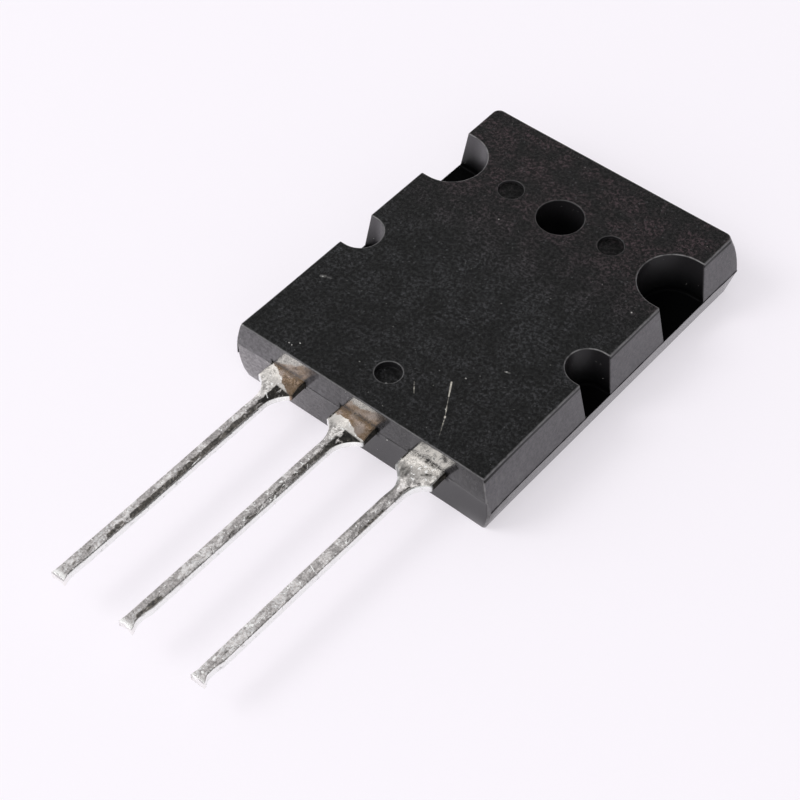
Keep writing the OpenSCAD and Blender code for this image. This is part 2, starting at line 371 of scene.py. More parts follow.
def new_material(name, rough=0.5, metal=0.0):
    material = bpy.data.materials.new(name)
    material.use_nodes = True
    nodes = Nodes(material.node_tree)
    shader = next(n for n in material.node_tree.nodes if n.type == "BSDF_PRINCIPLED")
    shader.inputs["Roughness"].default_value = rough
    shader.inputs["Metallic"].default_value = metal
    place = nodes.add("ShaderNodeTexCoord")["Object"]
    millimetres = nodes.add("ShaderNodeMapping", {"Vector": place, "Scale": (1 / MM,) * 3})[0]
    return material, nodes, shader, millimetres


def add_bump(nodes, shader, height, strength, depth):
    nodes.feed(shader.inputs["Normal"], nodes.add("ShaderNodeBump", {
        "Height": height, "Strength": strength, "Distance": depth * MM})[0])


def moulding_material(colours):
    material, nodes, shader, place = new_material("black_moulding", 0.42)
    x, y, z = nodes.split(place)
    facing = nodes.split(nodes.add("ShaderNodeNewGeometry")["Normal"])
    top = facing[2].step(0.8, 0.97)
    lead_wall = facing[1].step(-0.6, -0.9) * y.step(-19.5, -19.7)
    side = facing[0].step(0.6, 0.9) * x.step(9.4, 9.6)
    lower = z.step(2.0, 1.9)
    # Painted highlight: the front corner on the right side, lightened through the rubbed-edge mask
    corner = (facing[0] * facing[1]).step(-0.18, -0.42) * y.step(-19.8, -20.0)
    edge = nodes.painted("edge_wear")
    grain = moulded_grain(nodes, place, Scale=4.2, Fleck=0.7)
    rub_and_highlight = rubbed_edge_and_highlight(nodes, place, Edge=nodes.most(edge, corner), Amount=0.8)["Mask"]
    film = dust_film(nodes, place, Amount=0.25)["Mask"]
    scratch = marks(nodes, place, TOP, [
        (3.5, -15.6, 4.1, -16.6, 0.075, 0.45), (4.1, -16.6, 4.95, -18.0, 0.03, 0.7),
        (4.93, -17.96, 4.97, -18.04, 0.09, 0.0), (4.95, -18.0, 5.6, -19.3, 0.02, 0.97),
        (1.7, -17.0, 2.3, -17.75, 0.03, 0.95)])
    smears = marks(nodes, place, TOP, [
        (-8.62, -13.93, -8.4, -13.8, 0.14, 0.4), (-8.2, -13.75, -8.0, -13.7, 0.08, 0.4),
        (5.5, -12.85, 5.78, -12.76, 0.09, 0.4)])
    clouds = grain["Cloud"].step(0.38, 0.64, 0.2, 1.8) * y.step(-19.0, -9.0, 0.7, 1.0)
    shade = nodes.between(top, grain["Height"].step(0.35, 0.68, 0.6, 1.5),
                          grain["Height"].step(0.44, 0.68, 0.0, 4.2) * clouds)
    # Painted reflection: the lead wall is painted paler on its left, most of all below the parting line, for the
    # pale floor that it reflects
    above = z.step(3.05, 3.15)
    pale = nodes.blend(above, (0.16, 0.15, 0.155), (0.075, 0.071, 0.075))
    # Painted light: the walls are lighter than the top, the lead wall above the parting line and the right side
    # above the flange lighter still
    wall = nodes.blend(lead_wall * above, colours.moulding_wall, (0.026, 0.025, 0.026))
    wall = nodes.blend(side * (1.0 - lower), wall, (0.052, 0.049, 0.054))
    painted_reflection_share = nodes.between(above, x.step(0.5, -10.5), x.step(4.0, -10.0))
    wall = nodes.blend(painted_reflection_share * lead_wall, wall, pale)
    # Painted reflection: the strip below the flange on the right side is lighter towards the back
    strip = side * lower * y.step(-21.0, -2.0, 0.0, 0.8)
    wall = nodes.blend(strip, wall, (0.1, 0.095, 0.1))
    warmer = nodes.blend(y.step(-8.0, 1.0), colours.moulding, (0.0085, 0.005, 0.0058))
    tint = nodes.blend(top, wall, warmer)
    dark = nodes.scale(tint, shade)
    flecked = nodes.blend(grain["Flecks"] * top, dark, (0.06, 0.06, 0.063))
    dusty = nodes.blend(film, flecked, (0.13, 0.125, 0.12))
    blurred = nodes.noise(nodes.vector("MULTIPLY", place, (1.0, 1.0, 0.5)), 0.9, 4.0, 0.6).step(0.48, 0.7)
    smeared = nodes.blend(side * y.step(-15.5, -19.5) * blurred, dusty, (0.13, 0.125, 0.125))
    # Rubbed wear on the edges, together with the painted highlights along the top edge and on the right front corner
    rubbed_and_highlit = nodes.blend(rub_and_highlight, smeared, (0.17, 0.165, 0.165))
    marked = nodes.blend(smears * 0.6, rubbed_and_highlit, (0.16, 0.155, 0.15))
    marked = nodes.blend(scratch, marked, (0.52, 0.49, 0.43))
    # Painted shade: a dark border on the lead wall round each tab, with less sheen
    painted_contact_shade = mirror = 0.0
    for plan in LEAD_PLANS:
        left, right = plan.tab_left, plan.tab_right
        middle = plan.side * PITCH + (right - left) / 2 + 0.05
        beside = abs(x - middle) - ((left + right) / 2 + 0.05)
        aside = nodes.most(beside, (abs(z - TAB_HEIGHT) - 0.34) * 1.4)
        outside = aside.step(0.24, 0.04) * beside.step(-0.22, 0.0)
        painted_contact_shade = nodes.most(painted_contact_shade, outside)
        mirror = nodes.most(mirror, beside.step(0.0, -0.15))
    painted_contact_shade = painted_contact_shade * grain["Cloud"].step(0.42, 0.52, 0.35, 1.0) * lead_wall
    mirror = mirror * z.step(3.5, 3.7) * lead_wall
    marked = nodes.blend(painted_contact_shade * 0.9, marked, (0.002, 0.002, 0.0018))
    shadow_line = edge.step(-0.1, -0.8) * (1.0 - lead_wall)
    # Painted shade: the notch floors, the walls of the notches and holes, and the line under the rubbed edge are
    # painted black with little sheen
    inside_line = nodes.most(abs(x).step(9.75, 9.6), abs(facing[0]).step(0.8, 0.5))
    inward = inside_line * (y.step(-19.6, -19.2) * y.step(5.4, 5.0))
    floors = nodes.most(top, inward) * z.step(2.5, 2.15)
    inward *= facing[2].step(0.7, 0.4)
    bore = (x * x + y * y).step(3.2, 2.9)
    floors = nodes.most(floors, bore * z.step(4.95, 4.85))
    # Painted light: the upper walls of the notches on the left are painted lighter
    lit = x.step(-4.0, -6.0, 0.16, 1.0) * z.step(2.2, 4.6)
    painted_recess_tone = nodes.blend(lit * inward, (0.0015, 0.0015, 0.0016), (0.06, 0.056, 0.061))
    black = nodes.most(floors, inward, shadow_line)
    marked = nodes.blend(black, marked, painted_recess_tone)
    # Painted shade: the insides of the two side marks are painted near black
    aside = abs(x) - 4.1
    in_mark = (aside * aside + y * y).step(0.8, 0.7)
    in_mark *= z.step(4.98, 4.92)
    marked = nodes.blend(in_mark * 0.75, marked, (0.001, 0.001, 0.001))
    nodes.feed(shader.inputs["Base Color"], marked)
    shader.inputs["IOR"].default_value = 1.58
    sheen = 1.0 + mirror * 0.32 - painted_contact_shade * 0.7
    shine = nodes.between(top, nodes.between(side * lower, 0.5, y.step(-21.0, -2.0, 0.16, 0.40)),
                          grain["Height"].step(0.4, 0.65, 0.17, 0.34))
    dulled = lead_wall * 0.15 + (in_mark * 0.08 + nodes.most(shadow_line, inward) * 0.3)
    nodes.feed(shader.inputs["Specular IOR Level"], (sheen - floors * 0.97) * (shine - dulled))
    smooth = nodes.between(lead_wall, nodes.between(side * lower, nodes.between(top, 0.3, 0.44), 0.12), 0.13)
    rough = smooth + grain["Cloud"].step(0.3, 0.75, -0.02, 0.03)
    rough += nodes.most(edge, 0.0) * 0.25
    nodes.feed(shader.inputs["Roughness"], nodes.between(scratch, rough, 0.6))
    relief = grain["Height"] * nodes.between(top, nodes.between(lead_wall, 0.25, 0.02), 1.0)
    relief -= scratch * 0.6
    add_bump(nodes, shader, relief, 0.8, 0.06)
    return material


def tin_material(colours):
    material, nodes, shader, place = new_material("solder_on_copper", 0.25, 1.0)
    x, y, _ = nodes.split(place)
    flat = nodes.join(x, y, 0.0)
    mottle = solder_mottle(nodes, place, Scale=1.9)
    across = nodes.painted("across")
    steep = nodes.painted("steep")
    first, last = x < -3.0, x > 3.0
    others = 1.0 - last

    def window(low, high, soft=0.1):
        return y.step(low - soft, low + soft) * y.step(high + soft, high - soft)

    # Bare strip beside the wall on the first two leads, with the ragged edge where the solder stopped
    ragged = (nodes.noise(flat, 1.5, 3.0, 0.55) - 0.5) * 0.7
    border = nodes.between(first, x.step(-0.2, 1.0, -21.0, -21.5), -24.67 - x * 0.625)
    bare = (y - (border + ragged)).step(-0.04, 0.05) * (x < 3.0)
    # Dark flux on the slope away from the light, partly a painted dark reflection of the room above: all along the
    # first lead, fading along the second
    streak = nodes.noise(nodes.vector("MULTIPLY", place, (1.6, 0.6, 1.6)), 2.4, 5.0, 0.7, 0.5)
    share_first = nodes.most(y.step(-35.0, -34.6, 0.3, 1.0),
                             nodes.most(window(-35.9, -35.2, 0.25), window(-36.8, -36.1, 0.25)))
    fade = (y.step(-25.7, -25.1, 0.72, 1.0) * y.step(-28.4, -27.7, 0.82, 1.0) * y.step(-33.0, -32.3, 0.6, 1.0)
            * y.step(-36.7, -36.0, 0.2, 1.0))
    fade = nodes.most(fade, window(-39.8, -37.7, 0.2) * 1.1)
    level = streak + nodes.between(first, fade, share_first) * others * 0.36
    begin = first * y.step(-23.0, -21.6, 0.0, 0.22)
    wavy = (streak - 0.5) * 0.5
    zone = (across + begin + wavy).step(-0.02, 0.09) * steep.step(0.45, 0.10) * y.step(-21.55, -21.68)
    flux_and_painted_dark = level.step(0.70, 0.80) * zone * y.step(-24.0, -22.4, 0.93, 1.0)
    # The last lead is grey along its left edge near the neck
    strip = across.step(-0.14, -0.24) * (y.step(-29.2, -26.2) * y.step(-22.4, -22.6))
    strip *= last * streak.step(0.35, 0.5, 0.3, 0.7)
    triangle = across.step(-0.12, -0.32) * window(-22.3, -21.35) * (last * streak.step(0.35, 0.6, 0.35, 0.75))
    blots = marks(nodes, flat, 0.0, [
        (5.9, -21.35, 6.3, -21.05, 0.17, 0.45), (6.2, -22.0, 6.35, -22.1, 0.2, 0.6),
        (5.95, -22.6, 5.8, -23.2, 0.16, 0.4), (5.84, -24.8, 5.78, -27.0, 0.13, 0.4),
        (5.5, -37.0, 5.45, -39.2, 0.03, 0.9), (-5.55, -37.9, -5.5, -38.15, 0.12, 0.2),
        (-5.5, -39.2, -5.45, -39.4, 0.08, 0.3), (-5.42, -36.15, -5.36, -36.6, 0.16, 0.1)])
    spots = mottle["Pits"] * y.step(-24.5, -22.0, 0.35, 0.5)
    flux_and_painted_dark = nodes.most(flux_and_painted_dark, spots, nodes.most(strip, triangle), blots * steep.step(0.6, 0.2))
    flux_and_painted_dark *= y.step(-40.3, -39.8)
    # Dark band where the tabs meet the wall
    seam = (y + ragged * 0.8).step(-20.62, -20.42) * mottle["Grain"].step(0.40, 0.56, 0.1, 0.95)
    seam *= nodes.between(last, 0.6, x.step(4.6, 5.6, 0.45, 1.0))
    # Painted shade: the steep sides of the tabs near the wall are darkened
    shaded_tab_side = steep.step(0.3, 0.7) * across.step(0.8, 0.95) * y.step(-21.75, -21.45)
    # Painted reflection: the sides of the necks of the first two leads are painted white and matte, for the pale
    # floor that they reflect
    painted_white_neck_side = steep.step(0.25, 0.55) * across.step(0.1, 0.25) * (window(-23.7, -21.8, 0.15) * others)
    # Black moulding compound left along the left edge of the tabs
    edge_at = nodes.between(first, nodes.between(last, -1.27, -1.2), -1.5)
    edge_end = nodes.between(first, nodes.between(last, -21.55, -21.15), -20.6)
    left_edge = (across - edge_at).step(0.02, -0.06) * (y - edge_end).step(-0.1, 0.1)
    compound_and_shade = nodes.most(shaded_tab_side, left_edge * mottle["Grain"].step(0.34, 0.46, 0.5, 1.0))
    flux_and_painted_dark = nodes.most(flux_and_painted_dark, seam, compound_and_shade)
    ticks = marks(nodes, flat, 0.0, [
        (-0.15, -33.3, 0.2, -33.5, 0.04, 0.3), (0.15, -28.1, 0.35, -28.5, 0.04, 0.3),
        (0.05, -25.1, 0.2, -25.3, 0.04, 0.3), (-5.75, -22.5, -5.40, -22.7, 0.04, 0.3),
        (-5.35, -28.9, -5.30, -29.6, 0.035, 0.3), (5.2, -30.6, 5.65, -30.8, 0.04, 0.2)])
    shade = mottle["Patches"].step(0.38, 0.6, 0.7, 1.08) * mottle["Grain"].step(0.38, 0.6, 0.66, 1.14)
    shade *= nodes.between(last, y.step(-35.0, -29.0, 1.12, 1.0), y.step(-34.0, -28.0, 1.1, 0.93))
    shade = nodes.between(steep, shade, 1.0)
    shade = nodes.between(y.step(-22.0, -21.4) * 0.6, shade, 0.98)
    warm = nodes.blend(y.step(-23.5, -21.0), colours.tin, (0.95, 0.9, 0.84))
    warm = nodes.blend(steep.step(0.3, 0.8), warm, (0.93, 0.94, 0.92))
    tin = nodes.scale(warm, shade)
    # Painted reflection: the cut ends at the tips are painted pale and matte for the pale floor; the pale ticks in
    # the solder are its own
    pale = nodes.most(mottle["Ticks"], y.step(-40.1, -40.4))
    matte = mottle["Patches"].step(0.48, 0.6) * y.step(-24.5, -22.5, 0.3, 0.65)
    on_tab = y.step(-22.0, -21.4) * others
    matte = nodes.most(matte, pale * 0.8, on_tab * 0.4)
    tin = nodes.blend(pale, tin, (0.95, 0.94, 0.92))
    copper = nodes.blend(mottle["Grain"].step(0.32, 0.68), (0.25, 0.17, 0.1), colours.copper)
    copper = nodes.blend(nodes.noise(flat, 0.9, 2.0, 0.5).step(0.48, 0.66, 0.0, 0.7), copper, (0.6, 0.51, 0.46))
    # Colour of the flux, of the painted dark reflection and of the painted shade, darker near the neck
    depth = streak.step(0.35, 0.65, 1.5, 0.6) * y.step(-24.5, -22.6, 1.0, 0.35)
    dark_residue_and_reflection = nodes.scale(colours.flux_and_painted_dark, mottle["Grain"].step(0.38, 0.62, 0.2, 2.2) * depth)
    skin = nodes.blend(flux_and_painted_dark, nodes.blend(bare, tin, copper), dark_residue_and_reflection)
    skin = nodes.blend(nodes.most(ticks, painted_white_neck_side), skin, (0.96, 0.95, 0.93))
    nodes.feed(shader.inputs["Base Color"], skin)
    dull = nodes.between(flux_and_painted_dark, matte * steep.step(0.5, 0.2) * (1.0 - bare), 0.7)
    dull = nodes.between(painted_white_neck_side, nodes.between(ticks, dull, 0.75), 0.75)
    nodes.feed(shader.inputs["Metallic"], nodes.math("SUBTRACT", 1.0 - dull, compound_and_shade * 0.3, clamp=True))
    nodes.feed(shader.inputs["Specular IOR Level"], nodes.between(compound_and_shade, 0.5, 0.12))
    rough = nodes.between(y.step(-22.0, -21.2), mottle["Patches"].step(0.3, 0.7, 0.34, 0.13), 0.16)
    nodes.feed(shader.inputs["Roughness"], nodes.between(flux_and_painted_dark, nodes.between(bare, rough, 0.25), 0.45))
    height = (mottle["Grain"] * 0.5 + mottle["Patches"]) * y.step(-21.0, -23.2, 0.22, 1.0)
    add_bump(nodes, shader, height, 0.8, 0.06)
    return material


def sink_material(colours):
    material, nodes, shader, place = new_material("plated_heat_sink", 0.3, 1.0)
    rolled = nodes.noise(nodes.vector("MULTIPLY", place, (6.0, 0.35, 1.0)), 1.6, 5.0, 0.6)
    mottle = solder_mottle(nodes, place, Scale=0.9)
    plate = nodes.blend(rolled.step(0.3, 0.7), [c * 0.78 for c in colours.sink], colours.sink)
    stain = mottle["Patches"].step(0.52, 0.72) * 0.5
    nodes.feed(shader.inputs["Base Color"], nodes.blend(stain, plate, (0.5, 0.42, 0.34)))
    nodes.feed(shader.inputs["Roughness"], rolled.step(0.3, 0.7, 0.24, 0.42))
    add_bump(nodes, shader, rolled + mottle["Grain"] * 0.3, 0.35, 0.03)
    return material


def inner_material(name, base, rough, metal, scale, spread=0.2):
    """Finish of a part inside the moulding."""
    material, nodes, shader, place = new_material(name, rough, metal)
    mottle = solder_mottle(nodes, place, Scale=scale)
    dark = tuple(c * (1 - spread) for c in base)
    nodes.feed(shader.inputs["Base Color"], nodes.blend(mottle["Patches"].step(0.3, 0.7), dark, base))
    nodes.feed(shader.inputs["Roughness"], mottle["Grain"].step(0.3, 0.7, rough * 0.8, rough * 1.3))
    add_bump(nodes, shader, mottle["Grain"], 0.2, 0.02)
    return material


def dust_material(colours):
    material, nodes, shader, place = new_material("dust_crumbs", 0.75)
    grain = nodes.noise(place, 14.0, 2.0)
    nodes.feed(shader.inputs["Base Color"], nodes.blend(grain.step(0.3, 0.7), [c * 0.6 for c in colours.dust],
                                                        colours.dust))
    nodes.feed(shader.inputs["Roughness"], grain.step(0.3, 0.7, 0.6, 0.9))
    add_bump(nodes, shader, grain, 0.3, 0.02)
    return material


# ---- meshes ----

def new_object(name, mesh):
    item = bpy.data.objects.new(name, mesh)
    bpy.context.scene.collection.objects.link(item)
    return item


def finish_mesh(mesh, sharp=35.0):
    """Turns the faces outwards and marks the sharp edges."""
    bm = bmesh.new()
    bm.from_mesh(mesh)
    bmesh.ops.recalc_face_normals(bm, faces=bm.faces)
    if bm.calc_volume(signed=True) < 0:
        bmesh.ops.reverse_faces(bm, faces=bm.faces)
    for face in bm.faces:
        face.smooth = True
    for item in bm.edges:
        item.smooth = len(item.link_faces) == 2 and item.calc_face_angle(0.0) < math.radians(sharp)
    bm.to_mesh(mesh)
    bm.free()
    mesh.update()


def bake_modifiers(item):
    """Turns what the modifiers make into a plain mesh, and takes the modifiers off."""
    graph = bpy.context.evaluated_depsgraph_get()
    mesh = bpy.data.meshes.new_from_object(item.evaluated_get(graph), preserve_all_data_layers=True, depsgraph=graph)
    item.modifiers.clear()
    item.data = mesh
    mesh.name = item.name
    return item


def add_tree(item, tree, **inputs):
    """Puts a Geometry Nodes tree on an object, with its inputs set by identifier."""
    modifier = item.modifiers.new(tree.name, "NODES")
    modifier.node_group = tree
    sockets = {s.name: s.identifier for s in tree.interface.items_tree if s.item_type == "SOCKET"}
    for key, value in inputs.items():
        modifier[sockets[key.replace("_", " ")]] = value
    return modifier


def arc(x, y, radius, start, end, steps, face=1):
    """Points on an arc, each with the direction that faces out of the solid."""
    points = []
    for i in range(steps + 1):
        a = start + (end - start) * i / steps
        points.append((x + radius * math.cos(a), y + radius * math.sin(a), face * math.cos(a), face * math.sin(a)))
    return points


def mirrored(half):
    """A closed outline from its right half, which starts and ends on the middle line."""
    return half + [(-p[0], p[1], -p[2], p[3]) for p in reversed(half[1:-1])]


def smooth_share(value, low, high):
    t = min(1.0, max(0.0, (value - low) / (high - low)))
    return t * t * (3 - 2 * t)


def from_table(table, value):
    """Reads a table of (place, value) pairs with straight lines between them."""
    for (a, low), (b, high) in zip(table, table[1:]):
        if value <= b:
            return low + (high - low) * min(1.0, max(0.0, (value - a) / (b - a)))
    return table[-1][1]


class MouldingShape:
    """Outlines of the moulding in millimetres, with the same points at every height."""
    WALL_DRAFT = math.tan(math.radians(5))
    SIDE_DRAFT = 0.151
    FRONT_LEAN = 0.042
    FLANGE_DRAFT = 0.24
    STRAIGHT_STEPS = 5             # points along each straight side of a notch
    GAP = 0.04                     # room beside a tab where it leaves the wall
    # How far the corners swell past the straight walls by height, in the lower half and in the upper one
    FRONT_SWELL = (
        ((0.0, 0.02), (0.4, 0.13), (0.8, 0.17), (1.65, 0.13), (2.0, 0.085), (2.6, 0.058), (3.1, 0.05)),
        ((1.94, 0.085), (3.1, 0.17), (3.5, 0.20), (4.0, 0.17), (4.6, 0.13), (4.9, 0.05), (5.0, 0.03)))
    BACK_SWELL = (
        ((0.0, 0.02), (1.94, 0.07)),
        ((1.94, 0.07), (2.6, 0.13), (3.1, 0.14), (4.0, 0.115), (4.6, 0.085), (4.9, 0.03), (5.0, 0.0)))
    SWELL_REACH = (0.2, 3.0)       # distance from the corner where the swelling starts to fade, and ends
    SWELL_OUT, SWELL_ALONG = 0.76, 0.65
    CORNER_STEPS = 14
    MOUTH_STEPS = 8
    NOTCH_STEPS = (44, 60)         # small notch, large notch

    def __init__(self, sizes, leads):
        self.s = {key: getattr(sizes, key) / MM for key in sizes.__annotations__}
        self.outlines = {}
        pitch, tab, gap = leads.pitch / MM, leads.tab / MM, self.GAP
        outer = [plan for plan in LEAD_PLANS if plan.side]
        self.slots = [(-tab - gap, tab + gap)]
        self.slots += [(p.side * pitch - p.tab_left - gap, p.side * pitch + p.tab_right + gap) for p in outer]
        stops = [0.0]
        for e in sorted({round(abs(x), 4) for slot in self.slots for x in slot}):
            while e - 0.012 - stops[-1] > 0.9:
                stops.append(stops[-1] + 0.8)
            stops += [e - 0.012, e + 0.012]
        self.wall_x = stops + [7.9, 8.6, 9.1, 9.45]

    def side(self, z, upper):
        """Corner radius and the lines of the side, the lead wall and the far end."""
        s = self.s
        above, under = max(0.0, z - s["flange"]), max(0.0, s["flange"] - z)
        if upper:
            return (s["upper_corner"], s["half_width"] - above * self.SIDE_DRAFT,
                    (z - s["parting"]) * self.FRONT_LEAN - s["hole_to_wall"],
                    s["hole_to_end"] - above * self.WALL_DRAFT)
        return (s["lower_corner"], s["half_width"] - under * self.FLANGE_DRAFT,
                -(s["hole_to_wall"] - (s["parting"] - z) * self.WALL_DRAFT),
                s["hole_to_end"] - under * 0.8 * self.FLANGE_DRAFT)

    def notch(self, z, edge, x, y, radius, steps):
        """Mouth corner, notch wall and second mouth corner of one notch, from the lead end up."""
        mouth = self.s["mouth"]
        r = radius + (z - self.s["flange"]) * self.WALL_DRAFT
        cx = edge - mouth
        inwards = [cx + (x - cx) * i / (self.STRAIGHT_STEPS + 1) for i in range(1, self.STRAIGHT_STEPS + 1)]
        first = arc(cx, y - r - mouth, mouth, 0.0, math.pi / 2, self.MOUTH_STEPS)
        first += [(px, y - r, 0.0, 1.0) for px in inwards]
        wall = arc(x, y, r, -math.pi / 2, -1.5 * math.pi, steps, face=-1)
        last = [(px, y + r, 0.0, -1.0) for px in reversed(inwards)]
        return first + wall + last + arc(cx, y + r + mouth, mouth, -math.pi / 2, 0.0, self.MOUTH_STEPS)

    def notch_floor_line(self, edge, x, y, radius, steps):
        """The points of the flange edge that belong to one notch."""
        above = self.notch(self.s["flange"], self.s["half_width"], x, y, radius, steps)
        keep = max(i for i in range(self.MOUTH_STEPS) if i == 0 or above[i][1] > above[i - 1][1])
        ys = [p[1] for p in above]
        low, high = ys[keep], ys[-1 - keep]
        count = len(ys) - 1 - 2 * keep
        ys = ys[:keep] + [low + (high - low) * i / count for i in range(count + 1)] + ys[len(ys) - keep:]
        return [(edge, v, 1.0, 0.0) for v in ys]

    def right_half(self, z, upper):
        s = self.s
        r, edge, front, back = self.side(z, upper)
        cx = edge - r
        back_r = r + 0.4 * smooth_share(z, 3.6, s["top"]) if upper else r
        small, large = self.NOTCH_STEPS
        notches = [(s["small_notch_x"], -s["small_notch_back"], s["small_notch"], small),
                   (s["large_notch_x"], 0.0, s["large_notch"], large)]
        points = [(x, front, 0.0, -1.0) for x in self.wall_x]
        points += arc(cx, front + r, r, -math.pi / 2, 0.0, self.CORNER_STEPS)
        for x, y, radius, steps in notches:
            part = (self.notch(z, edge, x, y, radius, steps) if upper
                    else self.notch_floor_line(edge, x, y, radius, steps))
            low, high = points[-1][1], part[0][1]
            points += [(edge, low + (high - low) * i / 5, 1.0, 0.0) for i in range(1, 5)]
            points += part
        low = points[-1][1]
        points += [(edge, low + (back - back_r - low) * i / 4, 1.0, 0.0) for i in range(1, 4)]
        points += arc(edge - back_r, back - back_r, back_r, 0.0, math.pi / 2, self.CORNER_STEPS)
        points += [((edge - back_r) * (1 - i / 8), back, 0.0, 1.0) for i in range(1, 9)]
        front_swell, back_swell = from_table(self.FRONT_SWELL[upper], z), from_table(self.BACK_SWELL[upper], z)
        swollen = []
        for x, y, nx, ny in points:
            near = front_swell * (1 - smooth_share(math.hypot(x - edge, y - front), *self.SWELL_REACH))
            far = back_swell * (1 - smooth_share(math.hypot(x - edge, y - back), *self.SWELL_REACH))
            swollen.append((x + self.SWELL_OUT * (near + far), y - self.SWELL_ALONG * (near - far), nx, ny))
        return swollen

    def outline(self, z, upper):
        """The closed outline at one height, which is worked out once."""
        key = (round(z, 5), upper)
        if key not in self.outlines:
            self.outlines[key] = mirrored(self.right_half(z, upper))
        return self.outlines[key]

    def tags(self):
        """For each point of the outline: its parting height, and whether it belongs to a notch."""
        s = self.s
        heights = [s["parting"]] * len(self.wall_x)
        for i in range(self.CORNER_STEPS + 1):
            share = smooth_share(i / self.CORNER_STEPS, 0.55, 0.95)
            heights.append(s["parting"] + (s["flange"] - s["parting"]) * share)
        kinds = ["wall"] * len(self.wall_x) + ["corner"] * (self.CORNER_STEPS + 1)
        for steps in self.NOTCH_STEPS:
            kinds += ["side"] * 4 + ["notch"] * (2 * (self.MOUTH_STEPS + 1 + self.STRAIGHT_STEPS) + steps + 1)
        kinds += ["side"] * (3 + self.CORNER_STEPS + 1 + 8)
        heights += [s["flange"]] * (len(kinds) - len(heights))
        half = list(zip(heights, kinds))
        return half + half[-2:0:-1]


def ring_faces(bm, low, high):
    """Joins two closed rings of points with faces."""
    for i in range(len(low)):
        j = (i + 1) % len(low)
        bm.faces.new((low[i], low[j], high[j], high[i]))


def joined(bm, rings, last=None):
    """Joins one ring of points after another with faces; gives the first and the last ring."""
    first = last
    for ring in rings:
        if last:
            ring_faces(bm, last, ring)
        first, last = first or ring, ring
    return first, last


def plan_ring(bm, outline, z):
    return [bm.verts.new((x * MM, y * MM, z * MM)) for x, y in outline]


def circle_ring(bm, x, y, z, radius):
    x, y, z, radius = x * MM, y * MM, z * MM, radius * MM
    turns = [2 * math.pi * i / CIRCLE_STEPS for i in range(CIRCLE_STEPS)]
    return [bm.verts.new((x + radius * math.cos(a), y + radius * math.sin(a), z)) for a in turns]


def quarter(count):
    """Sine and cosine at even steps over a quarter turn."""
    for k in range(count):
        a = math.pi / 2 * k / (count - 1)
        yield math.sin(a), math.cos(a)


def inside(x, y, loop):
    """Whether a point lies inside a closed loop of points."""
    found = False
    for (ax, ay), (bx, by) in zip(loop, loop[1:] + loop[:1]):
        if (ay > y) != (by > y) and x < (bx - ax) * (y - ay) / (by - ay) + ax:
            found = not found
    return found


def flat_face(bm, outer, holes):
    """Fills a flat ring of points around some holes with triangles."""
    loops = [outer] + holes
    verts = [v for loop in loops for v in loop]
    edges, start = [], 0
    for loop in loops:
        edges += [(start + i, start + (i + 1) % len(loop)) for i in range(len(loop))]
        start += len(loop)
    points = [Vector((v.co.x / MM, v.co.y / MM)) for v in verts]
    made = geometry.delaunay_2d_cdt(points, edges, [], 1, 1e-5, True)
    plans = [[(v.co.x / MM, v.co.y / MM) for v in loop] for loop in loops]
    for face in made[2]:
        x = sum(made[0][i].x for i in face) / len(face)
        y = sum(made[0][i].y for i in face) / len(face)
        if inside(x, y, plans[0]) and not any(inside(x, y, plan) for plan in plans[1:]):
            bm.faces.new([verts[made[3][i][0]] for i in face])


def sink_outline(sizes, inset):
    """Outline of the heat sink in millimetres, drawn in beside the notches."""
    half, corner, steps = MOULD_HIGH.x / MM - SINK_MARGIN - inset, 0.25, 150
    low, high = SINK_SLAB[0] + inset, SINK_SLAB[1] - inset
    waists = [(sizes.large_notch_x / MM, 0.0, sizes.large_notch / MM + NOTCH_SKIN),
              (sizes.small_notch_x / MM, -sizes.small_notch_back / MM, sizes.small_notch / MM + NOTCH_SKIN)]
    right = [p[:2] for p in arc(half - corner, low + corner, corner, -math.pi / 2, 0.0, 6)]
    for i in range(1, steps):
        y = low + corner + (high - low - 2 * corner) * i / steps
        x = min([half] + [cx - math.sqrt(r * r - (y - cy) ** 2) for cx, cy, r in waists if abs(y - cy) < r])
        right.append((x, y))
    right += [p[:2] for p in arc(half - corner, high - corner, corner, 0.0, math.pi / 2, 6)]
    return right + [(-x, y) for x, y in reversed(right)]


def finished_mesh(bm, name):
    mesh = bpy.data.meshes.new(name)
    bm.to_mesh(mesh)
    bm.free()
    finish_mesh(mesh)
    return mesh


